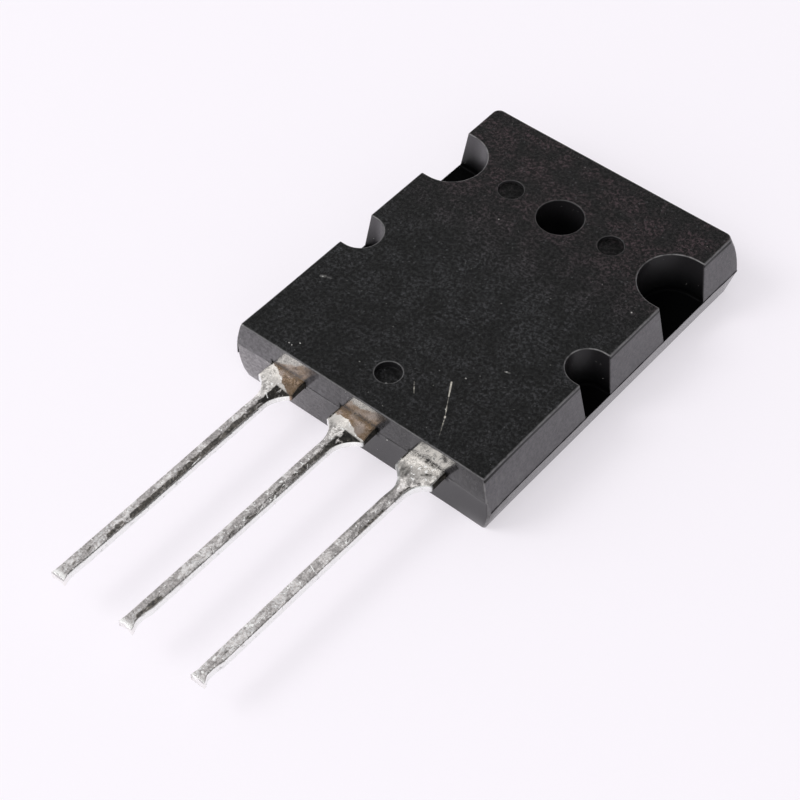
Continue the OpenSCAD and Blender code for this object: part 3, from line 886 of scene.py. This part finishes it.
def moulding_rows(shape, sizes):
    """Rows of points round the moulding from the bottom up, each with its wear."""
    s, tags = sizes, shape.tags()
    top, edge = s["top"], s["edge"]
    round_low, hold, foot = 0.07, 0.03, 0.02   # rounding of the bottom edge, its hold, and the parting step
    rows = []

    def at(i, z, upper, out, shown=None):
        """Point i of the outline at height z, moved out of the body, and shown at another height if given."""
        x, y, nx, ny = shape.outline(z, upper)[i]
        return x + nx * out, y + ny * out, z if shown is None else shown

    def add_row(place, wear=0.0, in_slot=False):
        """Adds a row; beside the tabs the wall steps in to leave them room."""
        points = [place(i, height) for i, (height, kind) in enumerate(tags)]
        if in_slot:
            for i, (height, kind) in enumerate(tags):
                x, y, z = points[i]
                if kind == "wall" and any(low < x < high for low, high in shape.slots):
                    points[i] = x, y + SLOT_DEPTH, z
        rows.append((points, wear if isinstance(wear, list) else [wear] * len(tags)))

    add_row(lambda i, height: at(i, SINK_PROUD, False, -round_low - hold), 0.1)
    for sine, cosine in quarter(4):
        add_row(lambda i, height: at(i, SINK_PROUD + round_low, False, -round_low * (1 - sine),
                                     SINK_PROUD + round_low * (1 - cosine)), 0.5)
    start = SINK_PROUD + round_low + 0.02
    for share in (0.0, 0.2, 0.4, 0.6, 0.76, 0.885, 0.896, 1.0):
        add_row(lambda i, height: at(i, start + (height - start) * share, False, 0.0),
                0.45 if share == 1.0 else 0.0, share > 0.89)
    # Fillet between the lower half and the upper one: wide on the notch floors, narrow elsewhere
    fillet = []
    for i, (height, kind) in enumerate(tags):
        width = math.dist(at(i, height, False, 0.0)[:2], at(i, height, True, -foot)[:2])
        fillet.append(min(0.16, 0.7 * width) if kind == "notch" else 0.006)
    for sine, cosine in quarter(4):
        add_row(lambda i, height: at(i, height + fillet[i] * (1 - cosine), True, -foot + fillet[i] * (1 - sine)),
                [0.0 if kind == "notch" else 0.3 for height, kind in tags], True)
    end = top - edge - 0.24
    for share in (0.0, 0.165, 0.18, 0.36, 0.56, 0.78, 1.0):
        add_row(lambda i, height: at(i, height + fillet[i] + 0.015 + (end - (height + fillet[i] + 0.015)) * share,
                                     True, -foot), 0.0, share < 0.17)
    # Painted shade: these rows get a wear of -1, which paints a dark line under the rubbed edge
    for below in (0.17, 0.05):     # a dark line under the rubbed edge
        add_row(lambda i, height: at(i, top - edge - below, True, -foot), -1.0)
    # Rubbed wear on the top edge, which also paints a highlight along it, weaker on the lead wall
    for (sine, cosine), wear in zip(quarter(5), (0.0, 1.0, 1.0, 1.0, 0.5)):
        add_row(lambda i, height: at(i, top - edge, True, -foot - edge * (1 - cosine), top - edge + edge * sine),
                [wear * (0.4 if kind == "wall" else 1.0) for height, kind in tags])
    add_row(lambda i, height: at(i, top - edge, True, -foot - edge - 0.01, top))
    return rows


def make_moulding(sizes, leads):
    """Mesh of the moulding: drafted walls, notches, parting step, hole, marks and heat-sink pocket."""
    shape = MouldingShape(sizes, leads)
    s, top = shape.s, shape.s["top"]
    bm = bmesh.new()
    # Wear per point, which also carries the painted highlight along the top edge and the painted shade line under it
    wear_and_light_layer = bm.verts.layers.float.new("edge_wear")

    def wear_and_light_ring(ring, wear):
        for vert, amount in zip(ring, wear):
            vert[wear_and_light_layer] = amount
        return ring

    bottom, upper = joined(bm, (wear_and_light_ring([bm.verts.new((x * MM, y * MM, z * MM)) for x, y, z in points], wear)
                                for points, wear in moulding_rows(shape, s)))

    def circles(x, y, profile, last):
        return joined(bm, (circle_ring(bm, x, y, z, radius) for radius, z in profile), last)[1]

    def rim(x, y, radius, bevel, rub_and_highlight):
        """Rounded rim of a hole in the top: its ring in the flat face, and its last ring down in the hole."""
        return joined(bm, (wear_and_light_ring(circle_ring(bm, x, y, top - bevel * (1 - cosine), radius + bevel * (1 - sine)),
                                     [rub_and_highlight] * CIRCLE_STEPS) for sine, cosine in quarter(5)),
                      circle_ring(bm, x, y, top, radius + bevel + 0.04))

    def blind(x, y, bevel, depth, rub_and_highlight, crown=0.0):
        """Blind round mark in the top."""
        radius, floor, turn = s["mark"], top - depth, min(0.06, depth * 0.4)
        first, last = rim(x, y, radius, bevel, rub_and_highlight)
        bm.faces.new(circles(x, y, (
            (radius, top - bevel - 0.015), (radius, floor + turn + 0.01), (radius, floor + turn),
            (radius - turn * 0.3, floor + turn * 0.3), (radius - turn, floor), (radius - turn - 0.05, floor),
            (radius * 0.5, floor + crown * 0.75), (0.08, floor + crown)), last))
        return first

    holes = [blind(s["mark_offset"], 0.0, 0.035, 0.20, 0.3, 0.03),
             blind(-s["mark_offset"], 0.0, 0.035, 0.16, 0.3, 0.03),
             blind(0.0, -s["end_mark_back"], 0.06, 0.5, 0.6)]
    mouth, last = rim(0.0, 0.0, s["hole"], 0.05, 0.35)
    hole, lining = s["hole"], s["hole"] + s["lining"]
    ceiling_hole = circles(0.0, 0.0, (
        *((hole, z) for z in (top - 0.08, 3.6, 2.2, 1.0, SINK_PROUD + 0.08)),
        (hole + 0.02, SINK_PROUD + 0.02), (hole + 0.06, SINK_PROUD),
        (lining - 0.03, SINK_PROUD), (lining, SINK_PROUD + 0.03), (lining, SINK_TOP)), last)
    flat_face(bm, upper, holes + [mouth])
    lip, reach = SINK_LIP
    pocket = plan_ring(bm, sink_outline(sizes, reach), SINK_PROUD)
    flat_face(bm, bottom, [pocket])
    pocket = joined(bm, (plan_ring(bm, sink_outline(sizes, inset), z)
                         for inset, z in ((reach, lip), (0.0, lip), (0.0, SINK_TOP))), pocket)[1]
    flat_face(bm, pocket, [ceiling_hole])
    return finished_mesh(bm, "moulded_shell")


def make_sink(sizes):
    """Mesh of the heat sink: plate with a locking lip and the hole that the lining fills."""
    bm = bmesh.new()
    lip, reach = SINK_LIP
    gap = 0.006
    radius = (sizes.hole + sizes.lining) / MM + gap
    foot = ((0.10, 0.0), (0.06, 0.0), (0.02, 0.015))
    bottom, top = joined(bm, (plan_ring(bm, sink_outline(sizes, inset + gap), z) for inset, z in (
        *((reach + inset, z) for inset, z in foot), (reach, 0.06), (reach, lip + gap), (gap, lip + gap),
        (0.0, SINK_TOP - 0.06), (0.06, SINK_TOP))))
    hole, mouth = joined(bm, (circle_ring(bm, 0.0, 0.0, z, radius + extra) for extra, z in (
        *foot, (0.0, 0.06), (0.0, SINK_TOP - 0.05), (0.05, SINK_TOP))))
    flat_face(bm, bottom, [hole])
    flat_face(bm, top, [mouth])
    return finished_mesh(bm, "heat_sink")


# ---- leads ----

# In millimetres along the body, from the mounting hole:
INNER_END = {"side": -15.45, "centre": -16.35}
LANDING_END = -18.9                # where the part of a lead that holds a bond wire ends
BEND_START = -23.0                 # where the leads start to bend up and lean
BEND_LENGTH = 17.5
STEP_SLOPE = 0.52                  # of the middle lead, down to the heat sink
BARE_SHOULDER, BARE_DROP = 0.19, 0.13

# One lead in millimetres: widths of its tab, how far the tip is bent up and where it ends, sideways shift where
# the lead begins and per millimetre, drop of the sloping right half along it and at the neck and where that
# fades, width and drop of the solder's edges along it and at the neck, and the narrowing just before the tip
LeadPlan = namedtuple("LeadPlan", "name node side tab_left tab_right rise tip_y lean slope left right "
                                  "neck_left neck_right pinch")
LEAD_PLANS = [
    LeadPlan("base_lead_tinned", "base_lead", -1, 1.70, 1.05, 0.15, -40.62, (-0.21, 0.0067),
             (0.12, 0.18, -34.6, -35.6, 0.25), (0.04, 0.10), (0.12, 0.20), (0.16, 0.16), (0.09, 0.26), 0.03),
    LeadPlan("collector_lead_tinned", "collector_frame", 0, 1.45, 1.45, 0.10, -40.52, (-0.12, -0.002),
             (0.11, 0.18, -25.5, -37.0, 0.25), (0.07, 0.10), (0.11, 0.20), (0.16, 0.16), (0.09, 0.26), 0.13),
    LeadPlan("emitter_lead_tinned", "emitter_lead", 1, 1.40, 1.45, -0.13, -40.42, (0.10, -0.0095),
             (0.05, 0.05, -27.5, -30.0, 0.3), (0.10, 0.12), (0.10, 0.22), (0.45, 0.26), (0.22, 0.24), 0.12),
]


def lead_spine(plan, sizes):
    """Line of points along one lead, with its widths and solder shoulders at each point."""
    half, neck = sizes.half_width / MM, sizes.neck / MM
    tab_end = -sizes.tab_end / MM
    centre_x = plan.side * sizes.pitch / MM
    middle_z = (LEAD_LOW.z + LEAD_HIGH.z) / 2 / MM
    inner = INNER_END["side" if plan.side else "centre"]
    ys = [inner, inner - 0.1]
    for until, step in ((-19.6, 0.25), (-23.6, 0.06), (plan.tip_y + 0.9, 0.115), (plan.tip_y + 0.03, 0.045)):
        while ys[-1] > until:
            ys.append(ys[-1] - step)
    ys.append(plan.tip_y)

    def reach(y, tab):
        run = math.sqrt(neck * neck - (neck - (tab - half)) ** 2)
        if y > LANDING_END and plan.side:
            return sizes.landing / MM
        if y > tab_end:
            return tab
        t = y - (tab_end - run)
        return half if t < 0 else half + neck - math.sqrt(max(0.0, neck * neck - t * t))

    columns = {key: [] for key in ("reach_left", "reach_right", "shoulder_left", "drop_left", "shoulder_right",
                                   "drop_right", "slope", "tip", "coat")}
    points = []
    for y in ys:
        past = BEND_START - y
        bend = max(0.0, min(1.0, past / BEND_LENGTH)) ** 2
        shift = (plan.lean[0] + plan.lean[1] * past) * smooth_share(-y, 21.5, 23.3)
        z = middle_z + plan.rise * bend
        if not plan.side and y > LANDING_END:
            z -= (y - LANDING_END) * STEP_SLOPE
        points.append(((centre_x + shift) * MM, y * MM, z * MM))
        flare = smooth_share(-y, -plan.tip_y - 0.55, -plan.tip_y)
        pinched = plan.pinch * smooth_share(-y, 38.5, 39.4) * (1 - smooth_share(-y, 39.7, 40.3))
        at_neck = smooth_share(-y, 20.95, 21.7) * (1 - smooth_share(-y, 22.6, 24.4))
        coat = smooth_share(-y, 20.6, 21.6)
        along, at_bend, fade_from, fade_to, rest = plan.slope
        faded = 1 - (1 - rest) * smooth_share(-y, -fade_from, -fade_to)
        values = {"reach_left": reach(y, plan.tab_left) + 0.03 * flare + 0.012 * coat,
                  "reach_right": reach(y, plan.tab_right) + 0.12 * flare + 0.012 * coat - pinched,
                  "slope": (along + (at_bend - along) * at_neck) * faded * coat * (1 - 0.8 * flare),
                  "tip": flare, "coat": coat}
        for side, along, neck_at in (("left", plan.left, plan.neck_left), ("right", plan.right, plan.neck_right)):
            for key, a, b, bare in zip(("shoulder_", "drop_"), along, neck_at, (BARE_SHOULDER, BARE_DROP)):
                solder = a + (b - a) * at_neck
                values[key + side] = (bare + (solder - bare) * coat) * (1 - 0.6 * flare)
        for key, value in values.items():
            columns[key].append(value if key in ("tip", "coat") else value * MM)
    mesh = bpy.data.meshes.new(plan.name)
    mesh.from_pydata(points, [(i, i + 1) for i in range(len(points) - 1)], [])
    for key, values in columns.items():
        mesh.attributes.new(key, "FLOAT", "POINT").data.foreach_set("value", values)
    return mesh


def lead_tree():
    """Geometry Nodes tree that sweeps a flat strip with solder shoulders along a lead's line."""
    nodes, given, made = geometry_tree(
        "Tinned lead", ("Float", "Thickness", 0.0006), ("Int", "Points Around", 96),
        ("Float", "Ripple Height", 0.00005), ("Float", "Ripple Scale", 1100.0), ("Float", "Tail Depth", 0.00016),
        ("Float", "Seed", 7.0))
    position = nodes.add("GeometryNodeInputPosition")[0]
    line = nodes.add("GeometryNodeMeshToCurve", {0: given["Geometry"]})[0]
    line = nodes.store(line, "spine", position, "FLOAT_VECTOR")
    ring = nodes.add("GeometryNodeCurvePrimitiveCircle", {"Resolution": given["Points Around"], "Radius": 0.0005})[0]
    index = nodes.add("GeometryNodeInputIndex")[0]
    ring = nodes.store(ring, "turn", index / given["Points Around"] * (2 * math.pi))
    swept = nodes.add("GeometryNodeCurveToMesh", {"Curve": line, "Profile Curve": ring, "Fill Caps": True})[0]
    # Round of the section as a square from -1 to 1, with more points near its corners
    turn = nodes.attribute("turn")

    def square(kind):
        wide = nodes.math("MINIMUM", nodes.most(nodes.math(kind, turn) * math.sqrt(2), -1.0), 1.0)
        return nodes.math("SINE", wide * (math.pi / 2))

    def either_side(name):
        return nodes.between(right, nodes.attribute(name + "_left"), nodes.attribute(name + "_right"))

    across, height = square("COSINE"), square("SINE")
    right = across > 0.0
    above = height > 0.0
    reach = either_side("reach")
    shoulder = nodes.between(above, 0.00009, either_side("shoulder"))
    slope = nodes.attribute("slope") * (right * above)
    # The edge never falls past the middle of the strip, so that the side has no fold
    room = given["Thickness"] * 0.5 - (slope + 0.00003)
    drop = nodes.math("MINIMUM", nodes.between(above, 0.00008, either_side("drop")), room)
    out = abs(across) * reach
    crease = reach - shoulder
    share = nodes.math("DIVIDE", out - crease, shoulder, clamp=True)
    fall = 1.0 - nodes.math("SQRT", 1.0 - share * share)
    # The right half of the top slopes from near the middle to the crease where the edge begins
    begin = 0.00004
    run = nodes.math("DIVIDE", out - begin, crease - begin, clamp=True)
    x = across * reach
    y = (1.0 - across * across) * nodes.attribute("tip") * given["Tail Depth"]
    z = height * (given["Thickness"] * 0.5 - (drop * fall + slope * run))
    swept = nodes.store(swept, "across", x * (1 / MM))
    swept = nodes.store(swept, "steep", nodes.most(share, height < 0.0))
    place = nodes.vector("ADD", nodes.attribute("spine", "FLOAT_VECTOR"), nodes.join(x, y, z))
    shaped = nodes.add("GeometryNodeSetPosition", {"Geometry": swept, "Position": place})[0]
    waves = nodes.noise(position, given["Ripple Scale"], 2.0, 0.5, 0.0, given["Seed"])
    slow = nodes.noise(position, given["Ripple Scale"] * 0.28, 2.0, 0.5, 0.0, given["Seed"] + 11.0)
    lift = ((waves - 0.5) * 0.8 + (slow - 0.5)) * given["Ripple Height"] * nodes.attribute("coat")
    offset = nodes.scale(nodes.add("GeometryNodeInputNormal")[0], lift)
    rippled = nodes.add("GeometryNodeSetPosition", {"Geometry": shaped, "Offset": offset})[0]
    return finish_tree(nodes, given, made, rippled)


# ---- mould flash and dust ----

def flash_tree():
    """Geometry Nodes tree that lays a broken ridge along the line where the mould halves meet."""
    nodes, given, made = geometry_tree("Mould flash", ("Float", "Height", 0.000035),
                                       ("Float", "Break Scale", 700.0), ("Float", "Seed", 3.0))
    position = nodes.add("GeometryNodeInputPosition")[0]
    line = nodes.add("GeometryNodeMeshToCurve", {0: given["Geometry"]})[0]
    rag = nodes.noise(position, given["Break Scale"], 3.0, 0.7, 0.0, given["Seed"])
    size = rag.step(0.36, 0.7, 0.32, 1.0) * given["Height"]
    line = nodes.add("GeometryNodeSetCurveRadius", {"Curve": line, "Radius": size})[0]
    ring = nodes.add("GeometryNodeCurvePrimitiveCircle", {"Resolution": 5, "Radius": 1.0})[0]
    swept = nodes.add("GeometryNodeCurveToMesh", {"Curve": line, "Profile Curve": ring, "Scale": size,
                                                  "Fill Caps": True})[0]
    ridge = nodes.store(swept, "edge_wear", rag.step(0.42, 0.68, 0.35, 1.0))
    return finish_tree(nodes, given, made, ridge)


def dust_tree():
    """Geometry Nodes tree that scatters fine crumbs over a surface and sets larger ones on given points."""
    nodes, given, made = geometry_tree(
        "Dust crumbs", ("Object", "Surface", None), ("Float", "Crumb Size", 0.00007), ("Int", "Crumbs", 150),
        ("Float", "Area", 0.0005), ("Int", "Seed", 3))
    surface = nodes.add("GeometryNodeObjectInfo", {"Object": given["Surface"]})["Geometry"]
    up = nodes.split(nodes.add("GeometryNodeInputNormal")[0])[2]
    spread = nodes.add("GeometryNodeDistributePointsOnFaces", {
        "Mesh": surface, "Selection": up > -0.25, "Density": given["Crumbs"] / given["Area"],
        "Seed": given["Seed"]})
    crumb = nodes.add("GeometryNodeMeshIcoSphere", {"Radius": 1.0, "Subdivisions": 1})[0]

    def random(kind, low, high, offset):
        node = nodes.add("FunctionNodeRandomValue", {"Seed": given["Seed"] + offset}, data_type=kind).node
        for socket, value in zip([i for i in node.inputs if i.enabled], (low, high)):
            nodes.feed(socket, value)
        return Wire(nodes, next(o for o in node.outputs if o.enabled))

    def crumbs(points, low, high, offset):
        size = random("FLOAT", low, high, offset) ** 2.0 * given["Crumb Size"]
        stretch = random("FLOAT_VECTOR", (0.7, 0.5, 0.35), (1.3, 1.0, 0.6), offset + 1)
        turn = random("FLOAT_VECTOR", (-0.3, -0.3, -3.1), (0.3, 0.3, 3.1), offset + 2)
        return nodes.add("GeometryNodeInstanceOnPoints", {
            "Points": points, "Instance": crumb, "Scale": nodes.scale(stretch, size), "Rotation": turn})[0]

    fine = crumbs(spread["Points"], 0.30, 0.62, 5.0)
    marked = nodes.add("GeometryNodeMeshToPoints", {"Mesh": given["Geometry"]})[0]
    large = crumbs(marked, 0.80, 1.10, 9.0)
    both = nodes.add("GeometryNodeJoinGeometry")
    for part in (fine, large):
        nodes.feed(both.node.inputs[0], part)
    return finish_tree(nodes, given, made, both[0])


# Larger crumbs in millimetres: on the top, then on the lead wall and in the mark near it
CRUMBS = [(x, y, TOP) for x, y in ((5.6, -12.8), (-8.5, -13.9), (-5.8, -19.1), (-6.1, -19.55), (-6.35, -19.5),
                                   (8.6, -3.9), (-3.0, -2.7), (4.0, -14.8), (4.6, -17.5), (-1.95, -17.9))]
CRUMBS += [(-9.05, -20.2, 2.85), (-8.75, -20.2, 2.86), (2.3, -20.32, 2.95), (9.35, -20.2, 4.4),
           (9.62, -20.0, 3.6), (-7.6, -20.33, 3.0), (0.2, -17.9, 4.5)]


def material_once(name, make):
    return bpy.data.materials.get(name) or make()


def moulding_finish(scene):
    return material_once("black_moulding", lambda: moulding_material(scene.finish_colours))


# ---- operators ----

class MakeMouldedBody(bpy.types.Operator):
    """Builds the moulded body and puts it in place of its CAD solid"""
    bl_idname = "transistor.moulded_body"
    bl_label = "Moulded Body"

    def execute(self, context):
        scene = context.scene
        item = new_object("moulded_shell", make_moulding(scene.moulding_sizes, scene.lead_sizes))
        item.data.materials.append(moulding_finish(scene))
        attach(item, BODY)
        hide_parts("moulded_body")
        return {"FINISHED"}


class MakeHeatSink(bpy.types.Operator):
    """Builds the plated heat sink that shows in the underside"""
    bl_idname = "transistor.heat_sink"
    bl_label = "Heat Sink"

    def execute(self, context):
        scene = context.scene
        item = new_object("heat_sink_plate", make_sink(scene.moulding_sizes))
        item.data.materials.append(sink_material(scene.finish_colours))
        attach(item, BODY)
        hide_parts("collector_frame")
        return {"FINISHED"}


class MakeLeads(bpy.types.Operator):
    """Sweeps the three leads with their tabs, necks, cut tips and solder coat"""
    bl_idname = "transistor.leads"
    bl_label = "Leads"
    # Attributes that the finish uses, or that the mesh needs
    KEPT = ("position", "across", "steep", "material_index", "sharp_face", "sharp_edge")

    def execute(self, context):
        scene = context.scene
        sizes = scene.lead_sizes
        tree = lead_tree()
        tin = tin_material(scene.finish_colours)
        for number, plan in enumerate(LEAD_PLANS):
            item = new_object(plan.name, lead_spine(plan, sizes))
            add_tree(item, tree, Thickness=sizes.thickness, Ripple_Height=sizes.ripple,
                     Seed=float(sizes.seed + 3 * number), Material=tin)
            bake_modifiers(item)
            for name in [a.name for a in item.data.attributes if a.name not in self.KEPT
                         and not a.name.startswith(".") and not a.is_required and not a.is_internal]:
                item.data.attributes.remove(item.data.attributes[name])
            finish_mesh(item.data, 50.0)
            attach(item, BODY)
            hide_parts(plan.node)
        return {"FINISHED"}


class MakeMouldFlash(bpy.types.Operator):
    """Lays the thin ridge of moulding along the line where the mould halves meet"""
    bl_idname = "transistor.mould_flash"
    bl_label = "Mould Flash"

    def execute(self, context):
        scene = context.scene
        shape = MouldingShape(scene.moulding_sizes, scene.lead_sizes)
        line = []
        for i, (height, kind) in enumerate(shape.tags()):
            x, y, nx, ny = shape.outline(height, False)[i]
            keep = kind != "wall" or not any(low - 0.02 < x < high + 0.02 for low, high in shape.slots)
            line.append((keep, (x - nx * 0.006, y - ny * 0.006, height)))
        verts, edges = [], []
        for (kept, a), (keep, b) in zip(line, line[1:] + line[:1]):
            gap = math.dist(a, b)
            if keep and kept and gap > 1e-6:
                steps = max(1, round(gap / 0.09))
                edges += [(len(verts) + k, len(verts) + k + 1) for k in range(steps)]
                verts += [[(p + (q - p) * (k / steps)) * MM for p, q in zip(a, b)] for k in range(steps + 1)]
        mesh = bpy.data.meshes.new("mould_flash")
        mesh.from_pydata(verts, edges, [])
        bm = bmesh.new()
        bm.from_mesh(mesh)
        bmesh.ops.remove_doubles(bm, verts=bm.verts, dist=1e-7)
        bm.to_mesh(mesh)
        bm.free()
        item = new_object("mould_flash", mesh)
        wear = scene.wear_sizes
        add_tree(item, flash_tree(), Height=wear.flash, Seed=float(wear.seed), Material=moulding_finish(scene))
        bake_modifiers(item)
        finish_mesh(item.data, 60.0)
        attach(item, BODY)
        return {"FINISHED"}


class MakeDust(bpy.types.Operator):
    """Scatters dust crumbs over the moulded body"""
    bl_idname = "transistor.dust"
    bl_label = "Dust"

    def execute(self, context):
        scene = context.scene
        wear = scene.wear_sizes
        mesh = bpy.data.meshes.new("dust_crumbs")
        mesh.from_pydata([(x * MM, y * MM, z * MM) for x, y, z in CRUMBS], [], [])
        item = new_object("dust_crumbs", mesh)
        add_tree(item, dust_tree(), Surface=bpy.data.objects["moulded_shell"], Crumb_Size=wear.dust,
                 Crumbs=wear.dust_count, Seed=wear.seed, Material=dust_material(scene.finish_colours))
        bake_modifiers(item)
        finish_mesh(item.data, 80.0)
        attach(item, BODY)
        return {"FINISHED"}


class FinishInnerParts(bpy.types.Operator):
    """Gives the die, its solder and the bond wires inside the moulding their finishes"""
    bl_idname = "transistor.inner_parts"
    bl_label = "Inner Parts"

    def execute(self, context):
        finishes = [(("silicon_die",), inner_material("die_silicon", (0.10, 0.11, 0.14), 0.18, 0.6, 0.8)),
                    (("die_attach_solder",), inner_material("die_solder", (0.50, 0.50, 0.52), 0.38, 1.0, 1.5)),
                    (("base_bond_wire", "emitter_bond_wire_1", "emitter_bond_wire_2"),
                     inner_material("bonding_aluminium", (0.86, 0.86, 0.87), 0.28, 1.0, 4.0, 0.1))]
        for names, material in finishes:
            for name in names:
                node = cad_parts[name]
                node.data.materials.clear()
                node.data.materials.append(material)
        return {"FINISHED"}


# ---- stage ----

FLOOR_Z = -0.02 * MM
SOFTBOX_WIDTH = 0.24
SOFTBOX_AIM = Vector((0.0, -0.018, 0.002))
SOFTBOX_AWAY = Vector((-0.43, -0.52, 0.74)).normalized()   # from the part to the softbox
SOFTBOX_DISTANCE = 0.58
CAMERA_EYE = Vector((56.762, -82.164, 103.988)) * MM
CAMERA_TARGET = Vector((0.606, -17.096, 2.5)) * MM
CAMERA_ROLL = -0.017


def studio_world(room):
    """Room around the part: pale near the horizon, dimmer overhead, darkest behind on the right."""
    world = bpy.data.worlds.new("studio_room")
    bpy.context.scene.world = world
    world.use_nodes = True
    nodes = Nodes(world.node_tree)
    background = next(n for n in world.node_tree.nodes if n.type == "BACKGROUND")
    direction = nodes.vector("NORMALIZE", nodes.add("ShaderNodeTexCoord")["Generated"])
    _, y, height = nodes.split(direction)
    front = y.step(0.1, -0.45, 0.0, 0.95)
    glow = height.step(0.02, 0.42, 0.55, 0.0)
    dark = nodes.vector("DOT_PRODUCT", direction, tuple(Vector((0.55, 0.5, 0.67)).normalized()), out="Value")
    dim = dark.step(0.72, 0.9, 1.0, 0.2)
    mirrored = nodes.add("ShaderNodeLightPath")["Is Glossy Ray"]
    front *= nodes.between(mirrored, 1.0, 0.25)
    level = (nodes.most(glow, front) + 0.5) * dim
    tint = nodes.blend(height.step(0.0, 0.6), (1.0, 0.99, 1.0), (0.97, 0.98, 1.0))
    nodes.feed(background.inputs["Color"], tint)
    nodes.feed(background.inputs["Strength"], level * room)


class SetStage(bpy.types.Operator):
    """Adds the plain pale floor, the softbox, the room light and the camera"""
    bl_idname = "transistor.stage"
    bl_label = "Stage"

    def execute(self, context):
        scene = context.scene
        stage = scene.stage_sizes
        half = stage.floor
        mesh = bpy.data.meshes.new("floor")
        corners = ((-half, -half), (half, -half), (half, half), (-half, half))
        mesh.from_pydata([(x, y, FLOOR_Z) for x, y in corners], [], [(0, 1, 2, 3)])
        floor = new_object("floor", mesh)
        material, nodes, shader, place = new_material("pale_floor", 0.6)
        tone = nodes.noise(place, 0.02, 2.0)
        pale = tuple(scene.finish_colours.floor)
        nodes.feed(shader.inputs["Base Color"], nodes.blend(tone, tuple(c * 0.995 for c in pale), pale))
        shader.inputs["Specular IOR Level"].default_value = 0.25
        seen = nodes.add("ShaderNodeLightPath")
        direct = nodes.math("ADD", seen["Is Camera Ray"] + seen["Is Glossy Ray"], seen["Is Transmission Ray"],
                            clamp=True)
        glow = nodes.add("ShaderNodeEmission", {"Color": (0.985, 0.945, 0.995, 1.0), "Strength": 1.0})
        mixed = nodes.add("ShaderNodeMixShader", {0: direct * stage.lift, 1: Wire(nodes, shader.outputs[0]),
                                                  2: glow[0]})
        surface = next(n for n in material.node_tree.nodes if n.type == "OUTPUT_MATERIAL").inputs["Surface"]
        nodes.feed(surface, mixed[0])
        mesh.materials.append(material)

        light = bpy.data.lights.new("softbox", "AREA")
        light.shape = "SQUARE"
        light.size = SOFTBOX_WIDTH
        light.energy = stage.key * math.pi * light.size ** 2
        lamp = bpy.data.objects.new("softbox", light)
        scene.collection.objects.link(lamp)
        lamp.location = SOFTBOX_AIM + SOFTBOX_AWAY * SOFTBOX_DISTANCE
        lamp.rotation_euler = SOFTBOX_AWAY.to_track_quat("Z", "Y").to_euler()

        studio_world(stage.room)

        ahead = (CAMERA_TARGET - CAMERA_EYE).normalized()
        right = ahead.cross(Vector((0, 0, 1))).normalized()
        up = right.cross(ahead)
        sine, cosine = math.sin(CAMERA_ROLL), math.cos(CAMERA_ROLL)
        turned_right = right * cosine + up * sine
        turned_up = -right * sine + up * cosine
        camera_data = bpy.data.cameras.new("camera")
        camera_data.sensor_width = 36.0
        camera_data.lens = stage.lens
        camera_data.clip_start = 0.005
        camera_data.clip_end = 20.0
        camera = bpy.data.objects.new("camera", camera_data)
        scene.collection.objects.link(camera)
        turn = Matrix((turned_right, turned_up, -ahead)).transposed()
        camera.matrix_world = Matrix.Translation(CAMERA_EYE) @ turn.to_4x4()
        scene.camera = camera
        scene.view_settings.view_transform = "Standard"
        return {"FINISHED"}


class TransistorPanel(bpy.types.Panel):
    """Lists the pieces in the order that they are made"""
    bl_idname = "VIEW3D_PT_transistor"
    bl_label = "Flat Power Transistor"
    bl_space_type = "VIEW_3D"
    bl_region_type = "UI"
    bl_category = "Transistor"

    def draw(self, context):
        layout = self.layout
        for title, group in (("Moulding", context.scene.moulding_sizes), ("Leads", context.scene.lead_sizes),
                             ("Wear", context.scene.wear_sizes), ("Colours", context.scene.finish_colours),
                             ("Stage", context.scene.stage_sizes)):
            box = layout.box()
            box.label(text=title)
            for key in group.__annotations__:
                box.prop(group, key)
        for operator in OPERATORS:
            layout.operator(operator.bl_idname)


GROUPS = {"moulding_sizes": MouldingSizes, "lead_sizes": LeadSizes, "wear_sizes": WearSizes,
          "finish_colours": FinishColours, "stage_sizes": StageSizes}
OPERATORS = (MakeMouldedBody, MakeHeatSink, MakeLeads, MakeMouldFlash, MakeDust, FinishInnerParts, SetStage)


def register():
    for item in (*GROUPS.values(), *OPERATORS, TransistorPanel):
        bpy.utils.register_class(item)
    for key, group in GROUPS.items():
        setattr(bpy.types.Scene, key, PointerProperty(type=group))


def unregister():
    for key in GROUPS:
        delattr(bpy.types.Scene, key)
    for item in reversed((*GROUPS.values(), *OPERATORS, TransistorPanel)):
        bpy.utils.unregister_class(item)


def main():
    register()
    bpy.ops.transistor.moulded_body()
    bpy.ops.transistor.heat_sink()
    bpy.ops.transistor.leads()
    bpy.ops.transistor.mould_flash()
    bpy.ops.transistor.dust()
    bpy.ops.transistor.inner_parts()
    bpy.ops.transistor.stage()


if __name__ == "__main__":
    main()
